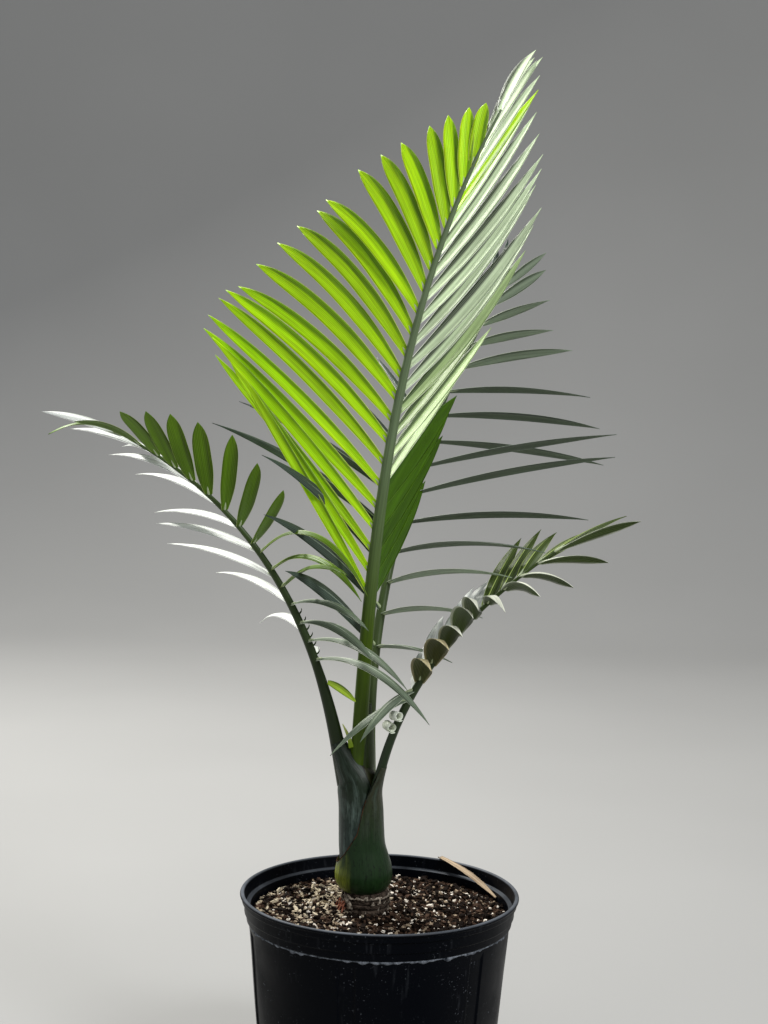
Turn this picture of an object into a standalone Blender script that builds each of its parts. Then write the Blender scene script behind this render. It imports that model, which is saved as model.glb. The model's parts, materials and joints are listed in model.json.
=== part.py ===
"""Potted sierra palm: a young feather palm with four fronds, in a black nursery pot.

Metres, +Z up. The origin is the middle of the pot's flat underside, +X runs to the right of the
front view and +Y away from it. Leaf a stands upright, b arches back, c left and d right.
"""

import math
from dataclasses import dataclass

import bmesh
import bpy
import numpy as np
from mathutils import Matrix, Vector
from mathutils.bvhtree import BVHTree

# Driving sizes, in metres
GAP = 0.0003
POT_HEIGHT = 0.240
RIM_RADIUS = 0.140
BASE_RADIUS = 0.1125
SHOULDER_RADIUS = 0.131
SHOULDER_Z = 0.2115
WALL = 0.003
FLOOR = 0.003
LEDGE_Z = 0.227
POT_STEPS = 48
FLUTES = 6
FLUTE_WIDTH = 0.017
FLUTE_DEPTH = 0.0015
FLUTE_FOOT = 0.025
FIRST_FLUTE = math.radians(-103.5)
DRAIN_RADIUS = 0.008
DRAIN_Z = 0.014

SOIL_Z = 0.2205
SOIL_EDGE_Z = 0.2185
SOIL_FLAT = 0.045
STUB_TOP = 0.2422
STUB_X = -0.0140

LEAF_WIDTH = 0.015
THINNEST_LEAF = 0.0018
THICKNESS_SHARE = 0.0115
SHINGLE = math.radians(14)
LEAF_STATIONS = (0.0, 0.16, 0.42, 0.72)
LEAF_OUTLINE = (0.36, 0.80, 1.0, 0.70)
LEAF_STEPS = 20
CLEARANCE = 1.25

UP = (0.0, 0.0, 1.0)


@dataclass
class Row:
    """Leaflets down one side of a rachis; tuples run evenly from the row's first leaflet to its last."""

    count: int
    first: float  # place along the spine, from 0 to 1
    last: float
    side: int
    reach: tuple  # length, m
    spread: tuple  # angle off the rachis, degrees
    lift: tuple  # rise towards the frond's upper face, degrees
    sag: tuple  # how far its own weight turns it down
    facing: tuple  # where the leaflet's upper face looks


@dataclass
class Frond:
    """One leaf: its rachis is a cubic Bezier, cut at its bend into a lower and an upper piece."""

    spine: tuple
    radii: tuple  # of the stalk at its foot, the blade's foot and the tip
    blade_from: float
    bend: float
    upper_face: tuple  # at the blade's foot and at its tip
    rows: tuple


FRONDS = {
    "a": Frond(
        spine=((-0.0234, -0.004, 0.3964), (-0.0144, -0.005, 0.6106), (0.002, 0.000, 0.825), (0.103, 0.030, 1.0204)),
        radii=(0.0078, 0.0066, 0.0013),
        blade_from=0.20,
        bend=0.58,
        upper_face=((-0.45, 0.9, 0.0), (-0.45, 0.9, 0.0)),
        rows=(
            Row(21, 0.22, 0.90, +1, (0.252, 0.252, 0.238, 0.190, 0.128, 0.068), (36, 47, 49, 45, 34, 15),
                (25, 33, 49, 56, 47, 31), (0.09, 0.20, 0.46, 0.53, 0.53, 0.52), (-0.15, 0.99, 0.0)),
            Row(23, 0.22, 1.0, -1, (0.164, 0.215, 0.257, 0.242, 0.212, 0.118), (39, 50, 45, 42, 26, 31),
                (42, 43, 17, 28, 52, 75), (0.22, 0.21, -0.44, -0.29, 0.15, 0.41), (-0.6, -0.8, 0.0)),
        ),
    ),
    "b": Frond(
        spine=((-0.0141, 0.0122, 0.3968), (-0.0136, 0.035, 0.560), (0.037, 0.130, 0.7175), (0.126, 0.260, 0.859)),
        radii=(0.0065, 0.0052, 0.0012),
        blade_from=0.14,
        bend=0.52,
        upper_face=((-0.3, -0.85, 0.45), (-0.6, -0.6, 0.6)),
        rows=(
            Row(15, 0.16, 1.0, +1, (0.104, 0.201, 0.223, 0.173, 0.088, 0.060), (84, 79, 61, 64, 61, 30),
                (25, 28, -25, -32, 3, 19), (0.57, 0.45, 0.18, 0.34, 0.37, 0.27), UP),
            Row(13, 0.16, 1.0, -1, (0.170, 0.220, 0.248, 0.226, 0.182, 0.090), (57, 71, 51, 33, 34, 25),
                (70, 74, -6, -39, -27, -7), (0.54, 0.52, 0.31, 0.01, -0.12, -0.40), UP),
        ),
    ),
    "c": Frond(
        spine=((-0.0456, -0.002, 0.3928), (-0.075, -0.010, 0.527), (-0.136, -0.015, 0.631), (-0.2645, 0.010, 0.693)),
        radii=(0.0073, 0.0048, 0.0011),
        blade_from=0.20,
        bend=0.50,
        upper_face=((0.6, 0.2, 0.8), (0.4, 0.3, 0.9)),
        rows=(
            Row(7, 0.22, 0.53, -1, (0.178, 0.177, 0.169, 0.164), (86, 86, 80, 78), (30, 15, 17, 47),
                (1.09, 0.66, 0.66, 1.85), UP),
            Row(9, 0.56, 1.0, -1, (0.094, 0.095, 0.078, 0.066, 0.096), (81, 67, 48, 43, 24), (23, 29, 24, 20, 7),
                (-0.26, -0.27, -0.39, 0.32, 1.17), UP),
            Row(11, 0.22, 1.0, +1, (0.149, 0.165, 0.157, 0.154, 0.123, 0.093), (78, 59, 50, 37, 43, 6),
                (14, -8, -14, 2, 21, -8), (0.95, 0.50, 0.40, 0.56, 0.65, 0.38), UP),
        ),
    ),
    "d": Frond(
        spine=((0.0001, -0.0206, 0.37435), (0.0233, -0.050, 0.471), (0.0826, -0.060, 0.538), (0.1606, -0.070, 0.595)),
        radii=(0.0048, 0.0042, 0.0011),
        blade_from=0.24,
        bend=0.58,
        upper_face=((-0.8, 0.0, 0.6), (-0.6, 0.0, 0.8)),
        rows=(
            Row(2, 0.27, 0.31, +1, (0.098, 0.078), (118, 114), (56, 50), (1.1, 1.5), UP),
            Row(10, 0.34, 1.0, +1, (0.092, 0.095, 0.096, 0.091, 0.084, 0.100), (35, 43, 48, 57, 49, 25),
                (29, 34, 33, 19, -4, -2), (1.06, 1.03, 0.89, 0.91, 0.70, 0.32), UP),
            Row(10, 0.30, 1.0, -1, (0.083, 0.095, 0.092, 0.101, 0.082, 0.081), (57, 52, 52, 46, 38, 20),
                (16, 15, 12, 19, 11, 2), (0.50, 0.40, 0.56, 0.30, 0.54, 0.41), UP),
        ),
    ),
}

# Sheath rings: height, centre X, centre Y and radius
OUTER_SHEATH = (
    (0.2425, -0.0160, 0.0, 0.0226), (0.2465, -0.0161, 0.0, 0.0258), (0.2520, -0.0163, 0.0, 0.0281),
    (0.2590, -0.0165, 0.0, 0.0289), (0.2660, -0.0168, 0.0, 0.0281), (0.2730, -0.0175, 0.0, 0.0266),
    (0.2850, -0.0187, 0.0, 0.0241), (0.3060, -0.0192, -0.0010, 0.0224), (0.3200, -0.0189, -0.0020, 0.0214),
    (0.3330, -0.0177, -0.0040, 0.0196), (0.3440, -0.0150, -0.0075, 0.0166), (0.3540, -0.0106, -0.0120, 0.0126),
    (0.3640, -0.0056, -0.0165, 0.0090), (0.3740, 0.0000, -0.0205, 0.0062),
)
LEFT_SHEATH = (
    (0.2560, -0.0173, 0.0, 0.0204), (0.2680, -0.0184, 0.0, 0.0214), (0.2810, -0.0199, 0.0, 0.0216),
    (0.3060, -0.0211, 0.0, 0.0214), (0.3310, -0.0220, 0.0, 0.0212), (0.3460, -0.0232, 0.0, 0.0215),
    (0.3560, -0.0260, 0.0, 0.0195), (0.3675, -0.0326, -0.001, 0.0152), (0.3795, -0.0393, -0.0015, 0.0108),
    (0.3925, -0.0456, -0.002, 0.0075),
)
SPEAR_BASE = (
    (0.3260, -0.0205, 0.003, 0.0158), (0.3560, -0.0200, 0.004, 0.0152), (0.3760, -0.0196, 0.004, 0.0146),
    (0.3955, -0.0195, 0.004, 0.0142),
)
# The open left margin of the outer sheath: X and height
SHEATH_MARGIN = (
    (-0.0440, 0.2700), (-0.0361, 0.2810), (-0.0236, 0.3030), (-0.0182, 0.3286), (-0.0116, 0.3529),
    (-0.0071, 0.3660), (-0.0062, 0.3780),
)
SPEAR_NARROW = 0.82
SHEATH_SIDES = 20


def fresh_collections():
    """Empties the scene and makes one collection for the palm and one for its cutters."""
    for obj in list(bpy.data.objects):
        bpy.data.objects.remove(obj, do_unlink=True)
    made = []
    for name in ("potted_sierra_palm", "cutters"):
        collection = bpy.data.collections.new(name)
        bpy.context.scene.collection.children.link(collection)
        made.append(collection)
    return made


def finish(name, colour, roughness):
    """A Principled material with one colour."""
    material = bpy.data.materials.new(name)
    material.use_nodes = True
    shader = material.node_tree.nodes["Principled BSDF"]
    shader.inputs["Base Color"].default_value = (*colour, 1.0)
    shader.inputs["Roughness"].default_value = roughness
    return material


def add_mesh(name, mesh, collection, material=None):
    """Puts a mesh in the collection as an object, shaded smooth but for its sharp edges."""
    obj = bpy.data.objects.new(name, mesh)
    collection.objects.link(obj)
    if material:
        mesh.materials.clear()
        mesh.materials.append(material)
    mesh.shade_smooth()
    mesh.set_sharp_from_angle(angle=math.radians(40))
    return obj


def baked(obj):
    """A mesh of the object as its modifiers or its curve show it, in world space, with caps welded."""
    evaluated = obj.evaluated_get(bpy.context.evaluated_depsgraph_get())
    mesh = bpy.data.meshes.new_from_object(evaluated)
    mesh.transform(obj.matrix_world)
    work = bmesh.new()
    work.from_mesh(mesh)
    bmesh.ops.remove_doubles(work, verts=work.verts, dist=0.00001)
    work.to_mesh(mesh)
    work.free()
    return mesh


def settle(obj):
    """Replaces an object's mesh by what its modifiers make of it."""
    mesh = baked(obj)
    obj.modifiers.clear()
    obj.data = mesh
    return obj


def add_boolean(obj, operation, operand):
    """A Boolean with another object, or with a whole collection of them."""
    boolean = obj.modifiers.new(operation.title(), "BOOLEAN")
    boolean.operation = operation
    boolean.solver = "EXACT"
    if isinstance(operand, bpy.types.Collection):
        boolean.operand_type = "COLLECTION"
        boolean.collection = operand
    else:
        boolean.object = operand
    return boolean


def turned(name, profile, steps, collection, material):
    """A profile of radius and height pairs, turned once round the Z axis."""
    mesh = bpy.data.meshes.new(name)
    points = [(radius, 0.0, height) for radius, height in profile]
    mesh.from_pydata(points, [(i, i + 1) for i in range(len(points) - 1)], [])
    obj = add_mesh(name, mesh, collection, material)
    screw = obj.modifiers.new("Turn", "SCREW")
    screw.steps = steps
    screw.render_steps = steps
    screw.use_merge_vertices = True
    screw.merge_threshold = 0.00001
    screw.use_smooth_shade = True
    return obj


def lofted(name, rings, collection, material):
    """A closed body through rings of points that all have as many points."""
    work = bmesh.new()
    loops = [[work.verts.new(point) for point in ring] for ring in rings]
    for lower, upper in zip(loops, loops[1:]):
        for i in range(len(lower)):
            j = (i + 1) % len(lower)
            work.faces.new((lower[i], lower[j], upper[j], upper[i]))
    work.faces.new(loops[0])
    work.faces.new(loops[-1])
    bmesh.ops.recalc_face_normals(work, faces=work.faces)
    mesh = bpy.data.meshes.new(name)
    work.to_mesh(mesh)
    work.free()
    return add_mesh(name, mesh, collection, material)


def tube(name, points, radii, collection, material):
    """A tapering round rod along points, as a beveled curve with filled caps."""
    curve = bpy.data.curves.new(name, "CURVE")
    curve.dimensions = "3D"
    curve.bevel_depth = 1.0
    curve.bevel_resolution = 2
    curve.resolution_u = 1
    curve.render_resolution_u = 0
    curve.use_fill_caps = True
    spline = curve.splines.new("POLY")
    spline.points.add(len(points) - 1)
    for place, point, radius in zip(spline.points, points, radii):
        place.co = (*point, 1.0)
        place.radius = radius
    if material:
        curve.materials.append(material)
    obj = bpy.data.objects.new(name, curve)
    collection.objects.link(obj)
    return obj


def body_radius(height):
    """The pot's tapering outer wall below its shoulder."""
    return BASE_RADIUS + (SHOULDER_RADIUS - BASE_RADIUS) * height / SHOULDER_Z


def pot_profile():
    """From the middle of the floor up the inside, over the lip and down the stepped outside."""
    inside = [
        (0.0, FLOOR),
        (body_radius(FLOOR) - WALL, FLOOR),
        (body_radius(LEDGE_Z) - WALL, LEDGE_Z),
        (RIM_RADIUS - 0.0062, LEDGE_Z + 0.001),
        (RIM_RADIUS - 0.0045, POT_HEIGHT - 0.0012),
    ]
    lip = [
        (RIM_RADIUS - 0.0034, POT_HEIGHT),
        (RIM_RADIUS - 0.0012, POT_HEIGHT),
        (RIM_RADIUS, POT_HEIGHT - 0.0012),
        (RIM_RADIUS, POT_HEIGHT - 0.0028),
        (RIM_RADIUS - 0.0016, POT_HEIGHT - 0.0038),
    ]
    bands = [
        (RIM_RADIUS - 0.0020, POT_HEIGHT - 0.0085),
        (RIM_RADIUS - 0.0042, POT_HEIGHT - 0.0098),
        (RIM_RADIUS - 0.0046, POT_HEIGHT - 0.0195),
        (RIM_RADIUS - 0.0064, POT_HEIGHT - 0.0207),
        (RIM_RADIUS - 0.0068, SHOULDER_Z + 0.0012),
        (SHOULDER_RADIUS, SHOULDER_Z),
    ]
    foot = [(body_radius(0.004), 0.004), (BASE_RADIUS - 0.003, 0.0), (0.0, 0.0)]
    return inside + lip + bands + foot


def flute_cutter(index, cutters):
    """A long block that sinks one upright flute into the pot's tapering wall."""
    angle = FIRST_FLUTE + index * math.tau / FLUTES
    low, high = FLUTE_FOOT, SHOULDER_Z - 0.008
    lean = math.atan2(body_radius(high) - body_radius(low), high - low)
    thickness = 0.010
    bpy.ops.mesh.primitive_cube_add(size=1.0)
    cutter = bpy.context.object
    cutter.name = f"flute_{index + 1}"
    cutter.data.transform(Matrix.Diagonal((thickness, FLUTE_WIDTH, (high - low) / math.cos(lean), 1.0)))
    middle = (low + high) / 2
    radius = body_radius(middle) * math.cos(FLUTE_WIDTH / 2 / body_radius(middle)) - FLUTE_DEPTH + thickness / 2
    cutter.location = (radius * math.cos(angle), radius * math.sin(angle), middle)
    cutter.rotation_euler = (0.0, lean, angle)
    park(cutter, cutters)
    return cutter


def drain_cutter(index, cutters):
    """A short round rod through the wall near the floor, midway between two flutes."""
    angle = FIRST_FLUTE + (index + 0.5) * math.tau / FLUTES
    radius = body_radius(DRAIN_Z) - WALL / 2
    bpy.ops.mesh.primitive_cylinder_add(vertices=12, radius=DRAIN_RADIUS, depth=0.012)
    cutter = bpy.context.object
    cutter.name = f"drain_{index + 1}"
    cutter.location = (radius * math.cos(angle), radius * math.sin(angle), DRAIN_Z)
    cutter.rotation_euler = (0.0, math.pi / 2, angle)
    park(cutter, cutters)
    return cutter


def park(cutter, cutters):
    """Moves a cutter to the cutters' collection and shows it as wires only."""
    for collection in list(cutter.users_collection):
        collection.objects.unlink(cutter)
    cutters.objects.link(cutter)
    cutter.hide_render = True
    cutter.display_type = "WIRE"


def make_pot(palm, cutters):
    """The blow-moulded pot: stepped rim, tapering wall, upright flutes and drain holes."""
    black = finish("black polyethylene", (0.006, 0.008, 0.012), 0.42)
    pot = turned("pot", pot_profile(), POT_STEPS, palm, black)
    for index in range(FLUTES):
        add_boolean(pot, "DIFFERENCE", flute_cutter(index, cutters))
        add_boolean(pot, "DIFFERENCE", drain_cutter(index, cutters))
    return pot


def make_mix(palm):
    """The potting mix that fills the pot, flat under the stem and a little lower at the wall."""
    profile = [
        (0.0, SOIL_Z),
        (SOIL_FLAT, SOIL_Z),
        (0.5 * (SOIL_FLAT + body_radius(SOIL_Z)), SOIL_Z - 0.0006),
        (body_radius(SOIL_EDGE_Z) - WALL - GAP, SOIL_EDGE_Z),
        (body_radius(FLOOR + GAP) - WALL - GAP, FLOOR + GAP),
        (0.0, FLOOR + GAP),
    ]
    bark = finish("bark potting mix", (0.030, 0.018, 0.012), 0.95)
    return turned("potting_mix", profile, POT_STEPS, palm, bark)


def make_stub(palm):
    """The ringed foot of the stem, cut flat where it meets the mix."""
    height = STUB_TOP - SOIL_Z - GAP
    ridges = [(0.0, 0.0245), (0.16, 0.0252), (0.34, 0.0236), (0.48, 0.0246), (0.64, 0.0230),
              (0.78, 0.0240), (1.0, 0.0224)]
    profile = [(0.0, height)]
    profile += [(radius, share * height) for share, radius in reversed(ridges)]
    profile += [(0.0, 0.0)]
    fibre = finish("dry leaf-base fibre", (0.16, 0.10, 0.07), 0.9)
    stub = turned("stem_foot", profile, 24, palm, fibre)
    stub.location = (STUB_X, 0.0, SOIL_Z + GAP)
    return stub


def sheath_rings(table, sides, grow=0.0, narrow=1.0, stalk=None):
    """Rings of a sheath across its own path, grown all round and at both ends by a distance.

    The last ring lies square to the stalk that goes on from it.
    """
    centres = np.array([(x, y, z) for z, x, y, _ in table])
    along = unit(np.gradient(centres, axis=0))
    along[0] = UP
    along[-1] = along_spine(stalk, np.array([0.0]))[1][0] if stalk else UP
    centres[0] -= along[0] * grow
    centres[-1] += along[-1] * grow
    turn = np.linspace(0.0, math.tau, sides, endpoint=False)
    rings = []
    for centre, direction, row in zip(centres, along, table):
        radius = row[3] + grow
        across = np.cross((0.0, 1.0, 0.0), direction)
        across /= np.linalg.norm(across)
        forward = np.cross(direction, across)
        rings.append([
            centre + radius * (narrow * math.cos(t) * across + math.sin(t) * forward) for t in turn
        ])
    return rings


def make_crownshaft(palm, cutters):
    """Three nested leaf bases: the bulbous outer one, the left one, and the base of the upright leaves."""
    waxy = finish("waxy green sheath", (0.035, 0.060, 0.045), 0.5)
    outer = lofted("outer_sheath", sheath_rings(OUTER_SHEATH, SHEATH_SIDES, stalk=FRONDS["d"]), palm, waxy)
    left = lofted("left_sheath", sheath_rings(LEFT_SHEATH, SHEATH_SIDES, stalk=FRONDS["c"]), palm, waxy)
    spear = lofted("spear_base", sheath_rings(SPEAR_BASE, SHEATH_SIDES, narrow=SPEAR_NARROW), palm, waxy)
    left_room = lofted(
        "left_room", sheath_rings(LEFT_SHEATH, SHEATH_SIDES, grow=GAP, stalk=FRONDS["c"]), cutters, None
    )
    spear_room = lofted(
        "spear_room", sheath_rings(SPEAR_BASE, SHEATH_SIDES, grow=GAP, narrow=SPEAR_NARROW), cutters, None
    )
    outline = SHEATH_MARGIN + ((-0.08, SHEATH_MARGIN[-1][1]), (-0.08, SHEATH_MARGIN[0][1]))
    opening = lofted("margin", [[(x, y, z) for x, z in outline] for y in (-0.05, 0.05)], cutters, None)
    for cutter in (opening, left_room, spear_room):
        cutter.hide_render = True
        cutter.display_type = "WIRE"
        add_boolean(outer, "DIFFERENCE", cutter)
    add_boolean(left, "DIFFERENCE", spear_room)
    return [settle(outer), settle(left), spear]


def unit(vectors):
    """Vectors of length one."""
    return vectors / np.linalg.norm(vectors, axis=-1, keepdims=True)


def along_spine(frond, places):
    """Points and directions at even distances along the frond's Bezier."""
    a, b, c, d = (np.array(point) for point in frond.spine)
    t = np.linspace(0.0, 1.0, 200)[:, None]
    curve = (1 - t) ** 3 * a + 3 * (1 - t) ** 2 * t * b + 3 * (1 - t) * t**2 * c + t**3 * d
    run = np.concatenate([[0.0], np.cumsum(np.linalg.norm(np.diff(curve, axis=0), axis=1))])
    run /= run[-1]
    heading = np.gradient(curve, axis=0)
    points = np.stack([np.interp(places, run, curve[:, k]) for k in range(3)], axis=-1)
    headings = np.stack([np.interp(places, run, heading[:, k]) for k in range(3)], axis=-1)
    return points, unit(headings)


def stalk_radius(frond, places):
    """The stalk tapers evenly to the blade's foot, and on from there to the tip."""
    return np.interp(places, (0.0, frond.blade_from, 1.0), frond.radii)


def evenly(values, share):
    """A value from a tuple that runs evenly from 0 to 1."""
    return float(np.interp(share, np.linspace(0.0, 1.0, len(values)), values))


def leaflet_line(frond, row, place):
    """Midrib points of one leaflet, which starts in the rachis and is bent down by its own weight."""
    share = (place - row.first) / max(row.last - row.first, 1e-9)
    points, headings = along_spine(frond, np.array([place]))
    start, heading = points[0], headings[0]
    blade_share = max(0.0, (place - frond.blade_from) / (1.0 - frond.blade_from))
    face = np.array(frond.upper_face[0]) * (1 - blade_share) + np.array(frond.upper_face[1]) * blade_share
    upward = unit(face - (face @ heading) * heading)
    sideways = np.cross(heading, upward) * row.side
    spread = math.radians(evenly(row.spread, share))
    lift = math.radians(evenly(row.lift, share))
    outward = sideways * math.cos(lift) + upward * math.sin(lift)
    first_way = heading * math.cos(spread) + outward * math.sin(spread)
    steps = (np.arange(LEAF_STEPS) + 0.5) / LEAF_STEPS
    ways = unit(first_way - evenly(row.sag, share) * steps[:, None] * np.array(UP))
    reach = evenly(row.reach, share)
    line = np.concatenate([start[None], start + np.cumsum(ways, axis=0) * reach / LEAF_STEPS])
    return line, reach


def leaflet_rings(frond, row, place, swell=1.0):
    """Three-sided rings of one leaflet: two edges and a keel, narrowing to a small tip."""
    line, reach = leaflet_line(frond, row, place)
    along = np.linspace(0.0, 1.0, len(line))
    thickness = max(THINNEST_LEAF, THICKNESS_SHARE * reach)
    root = float(stalk_radius(frond, place))
    stations = (*LEAF_STATIONS, 1.0)
    outline = (*LEAF_OUTLINE, 0.10)
    rings = []
    edge = None
    for station, share in zip(stations, outline):
        centre = np.array([np.interp(station, along, line[:, k]) for k in range(3)])
        ahead = np.array([np.interp(min(station + 0.05, 1.0), along, line[:, k]) for k in range(3)])
        behind = np.array([np.interp(max(station - 0.05, 0.0), along, line[:, k]) for k in range(3)])
        way = unit(ahead - behind)
        if edge is None:
            edge = unit(np.cross(way, np.array(row.facing)))
            over = np.cross(edge, way)
            edge = edge * math.cos(SHINGLE) + over * math.sin(SHINGLE) * row.side
        edge = unit(edge - (edge @ way) * way)
        over = np.cross(edge, way)
        half = LEAF_WIDTH / 2 * share * swell
        deep = thickness * (0.45 + 0.55 * share) * swell
        if station == 0.0:
            half = min(half, 0.8 * root)
            deep = min(deep, 0.8 * root)
        rings.append([
            centre - edge * half - over * deep / 3,
            centre + edge * half - over * deep / 3,
            centre + over * deep * 2 / 3,
        ])
    return rings


def tree_of(mesh):
    """A search tree over a mesh's faces."""
    points = [vertex.co.copy() for vertex in mesh.vertices]
    return BVHTree.FromPolygons(points, [tuple(face.vertices) for face in mesh.polygons])


def ring_tree(rings):
    """A search tree over a leaflet that is made of rings."""
    count = len(rings[0])
    points = [Vector(point) for ring in rings for point in ring]
    faces = [
        (r * count + i, r * count + (i + 1) % count, (r + 1) * count + (i + 1) % count, (r + 1) * count + i)
        for r in range(len(rings) - 1)
        for i in range(count)
    ]
    return BVHTree.FromPolygons(points, faces)


def make_stalks(palm, green):
    """The bare stalk of each frond, from its sheath to the blade's foot."""
    stalks = []
    for letter, frond in FRONDS.items():
        places = np.linspace(0.0, frond.blade_from, 8)
        points, _ = along_spine(frond, places)
        stalks.append(tube(f"stalk_{letter}", points, stalk_radius(frond, places), palm, green))
    return stalks


def blade_spans(frond):
    """The lower and upper part of a blade, each from a place on the spine to another."""
    length = np.linalg.norm(np.diff(np.array(frond.spine), axis=0), axis=1).sum()
    gap = 1.2 * GAP / length
    return {
        "lower": (frond.blade_from + gap, frond.bend),
        "upper": (frond.bend + gap, 1.0),
    }


def make_rib(frond, span):
    """The rachis through one part of a blade, as a mesh in no collection yet."""
    places = np.linspace(*span, 11)
    points, _ = along_spine(frond, places)
    rod = tube("rib", points, stalk_radius(frond, places), bpy.context.scene.collection, None)
    mesh = baked(rod)
    curve = rod.data
    bpy.data.objects.remove(rod)
    bpy.data.curves.remove(curve)
    return mesh


def make_blade(name, frond, span, rib, others, palm, green):
    """One part of a blade: its rib and the leaflets whose roots it holds, joined into one body.

    A leaflet that would touch a neighbouring piece is left out.
    """
    leaflets = bpy.data.collections.new(f"{name}_leaflets")
    for row in frond.rows:
        for place in np.linspace(row.first, row.last, row.count):
            root = min(float(place), 0.995)
            if not span[0] + 0.004 <= root <= span[1] - 0.002:
                continue
            swollen = ring_tree(leaflet_rings(frond, row, root, CLEARANCE))
            if any(swollen.overlap(tree) for tree in others):
                continue
            lofted(f"{name}_leaflet", leaflet_rings(frond, row, root), leaflets, None)
    blade = add_mesh(name, rib, palm, green)
    add_boolean(blade, "UNION", leaflets)
    settle(blade)
    blade.data.materials.clear()
    blade.data.materials.append(green)
    for leaflet in list(leaflets.objects):
        bpy.data.objects.remove(leaflet)
    bpy.data.collections.remove(leaflets)
    return blade


def make_fronds(palm, fixed):
    """All stalks and blades. Blades are made one after another, each clear of those before it."""
    green = finish("palm leaf", (0.080, 0.190, 0.010), 0.45)
    stalks = make_stalks(palm, green)
    bpy.context.view_layer.update()
    solid = [tree_of(baked(obj)) for obj in fixed + stalks]
    ribs = {}
    for letter, frond in FRONDS.items():
        for part, span in blade_spans(frond).items():
            ribs[f"frond_{letter}_{part}"] = (frond, span, make_rib(frond, span))
    rib_trees = {name: tree_of(rib) for name, (_, _, rib) in ribs.items()}
    done = []
    for name, (frond, span, rib) in ribs.items():
        others = solid + done + [tree for other, tree in rib_trees.items() if other != name]
        blade = make_blade(name, frond, span, rib, others, palm, green)
        done.append(tree_of(blade.data))


def make_dry_strip(palm):
    """A fallen strip of dry leaf that leans on the back right of the rim, its other end on the mix."""
    high = np.array((0.0640, 0.1235, POT_HEIGHT + 0.0012))
    low = np.array((0.1195, 0.0440, SOIL_EDGE_Z + 0.0035))
    along = unit(low - high)
    edge = unit(np.cross(along, np.array(UP)))
    over = np.cross(edge, along)
    rings = []
    for share, half in ((0.0, 0.0030), (0.2, 0.0042), (0.5, 0.0050), (0.8, 0.0038), (1.0, 0.0015)):
        centre = high + (low - high) * share + over * 0.004 * math.sin(math.pi * share)
        rings.append([centre - edge * half, centre - over * 0.0006, centre + edge * half, centre + over * 0.0006])
    straw = finish("dry leaf", (0.45, 0.33, 0.20), 0.85)
    return lofted("dry_leaf_strip", rings, palm, straw)


def main():
    palm, cutters = fresh_collections()
    pot = make_pot(palm, cutters)
    mix = make_mix(palm)
    stub = make_stub(palm)
    sheaths = make_crownshaft(palm, cutters)
    strip = make_dry_strip(palm)
    bpy.context.view_layer.update()
    make_fronds(palm, [pot, mix, stub, strip] + sheaths)


main()
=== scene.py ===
"""Potted sierra palm: the finish of every piece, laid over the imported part.

Metres, +Z up, +X to the right of the front view and +Y away from it. Leaf a stands upright, b arches
back, c left and d right. Each leaf grows by one rule: a rachis on a Bezier, with two rows of leaflets
whose angles and lengths run evenly from the first to the last.
"""

import json
import math
from dataclasses import dataclass

import bpy
import numpy as np
from bpy.props import FloatProperty, FloatVectorProperty, IntProperty, PointerProperty
from mathutils import Matrix, Vector

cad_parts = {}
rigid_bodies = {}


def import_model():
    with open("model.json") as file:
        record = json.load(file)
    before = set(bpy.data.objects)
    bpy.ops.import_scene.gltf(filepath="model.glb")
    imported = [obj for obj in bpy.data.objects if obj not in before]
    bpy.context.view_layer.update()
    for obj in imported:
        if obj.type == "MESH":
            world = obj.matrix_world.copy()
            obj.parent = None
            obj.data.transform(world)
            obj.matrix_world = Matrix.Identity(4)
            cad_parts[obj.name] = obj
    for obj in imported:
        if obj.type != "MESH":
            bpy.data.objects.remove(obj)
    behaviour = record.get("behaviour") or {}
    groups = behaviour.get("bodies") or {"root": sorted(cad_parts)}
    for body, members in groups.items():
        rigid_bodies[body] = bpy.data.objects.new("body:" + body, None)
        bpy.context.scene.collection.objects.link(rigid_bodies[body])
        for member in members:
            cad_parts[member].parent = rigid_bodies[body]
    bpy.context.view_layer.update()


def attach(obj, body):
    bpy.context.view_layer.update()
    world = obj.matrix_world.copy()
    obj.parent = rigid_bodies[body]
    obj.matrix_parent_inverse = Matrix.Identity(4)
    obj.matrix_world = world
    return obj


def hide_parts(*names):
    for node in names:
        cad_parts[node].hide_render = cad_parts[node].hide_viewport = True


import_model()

bl_info = {
    "name": "Potted sierra palm",
    "version": (1, 0, 0),
    "blender": (4, 5, 0),
    "location": "3D View > Sidebar > Palm",
    "description": "Dresses the packed palm with its leaves, sheaths, pot and potting mix",
    "category": "Object",
}

UP = np.array((0.0, 0.0, 1.0))

# The pot, as in the part
POT_HEIGHT = 0.240
RIM_RADIUS = 0.140
BASE_RADIUS = 0.1125
SHOULDER_RADIUS = 0.131
SHOULDER_Z = 0.2115
WALL = 0.003
FLOOR = 0.003
LEDGE_Z = 0.227
FLUTES = 6
FLUTE_WIDTH = 0.017
FLUTE_DEPTH = 0.0015
FLUTE_FOOT = 0.025
FIRST_FLUTE = math.radians(-103.5)
DRAIN_RADIUS = 0.008
DRAIN_Z = 0.014
FLUTE_TURNS = FIRST_FLUTE + np.arange(FLUTES) * math.tau / FLUTES
FLUTE_HALF_TURN = FLUTE_WIDTH / 2 / SHOULDER_RADIUS
PAINTED_LIP_HIGHLIGHT = (0.2386, 0.2398)  # heights where the painted highlight on the lip starts and is full

# The potting mix and the foot of the stem
SOIL_Z = 0.2205
SOIL_EDGE_Z = 0.2185
SOIL_FLAT = 0.045
STUB_TOP = 0.2422
STUB_X = -0.0140
COLLAR_RADIUS = 0.0236
FRAY_RADIUS = 0.0242
ROOT_RADIUS = 0.0232  # how far from the stub's middle the root tips start
LEAF_SCARS = (0.2220, 0.2270, 0.2320, 0.2360)
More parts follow.
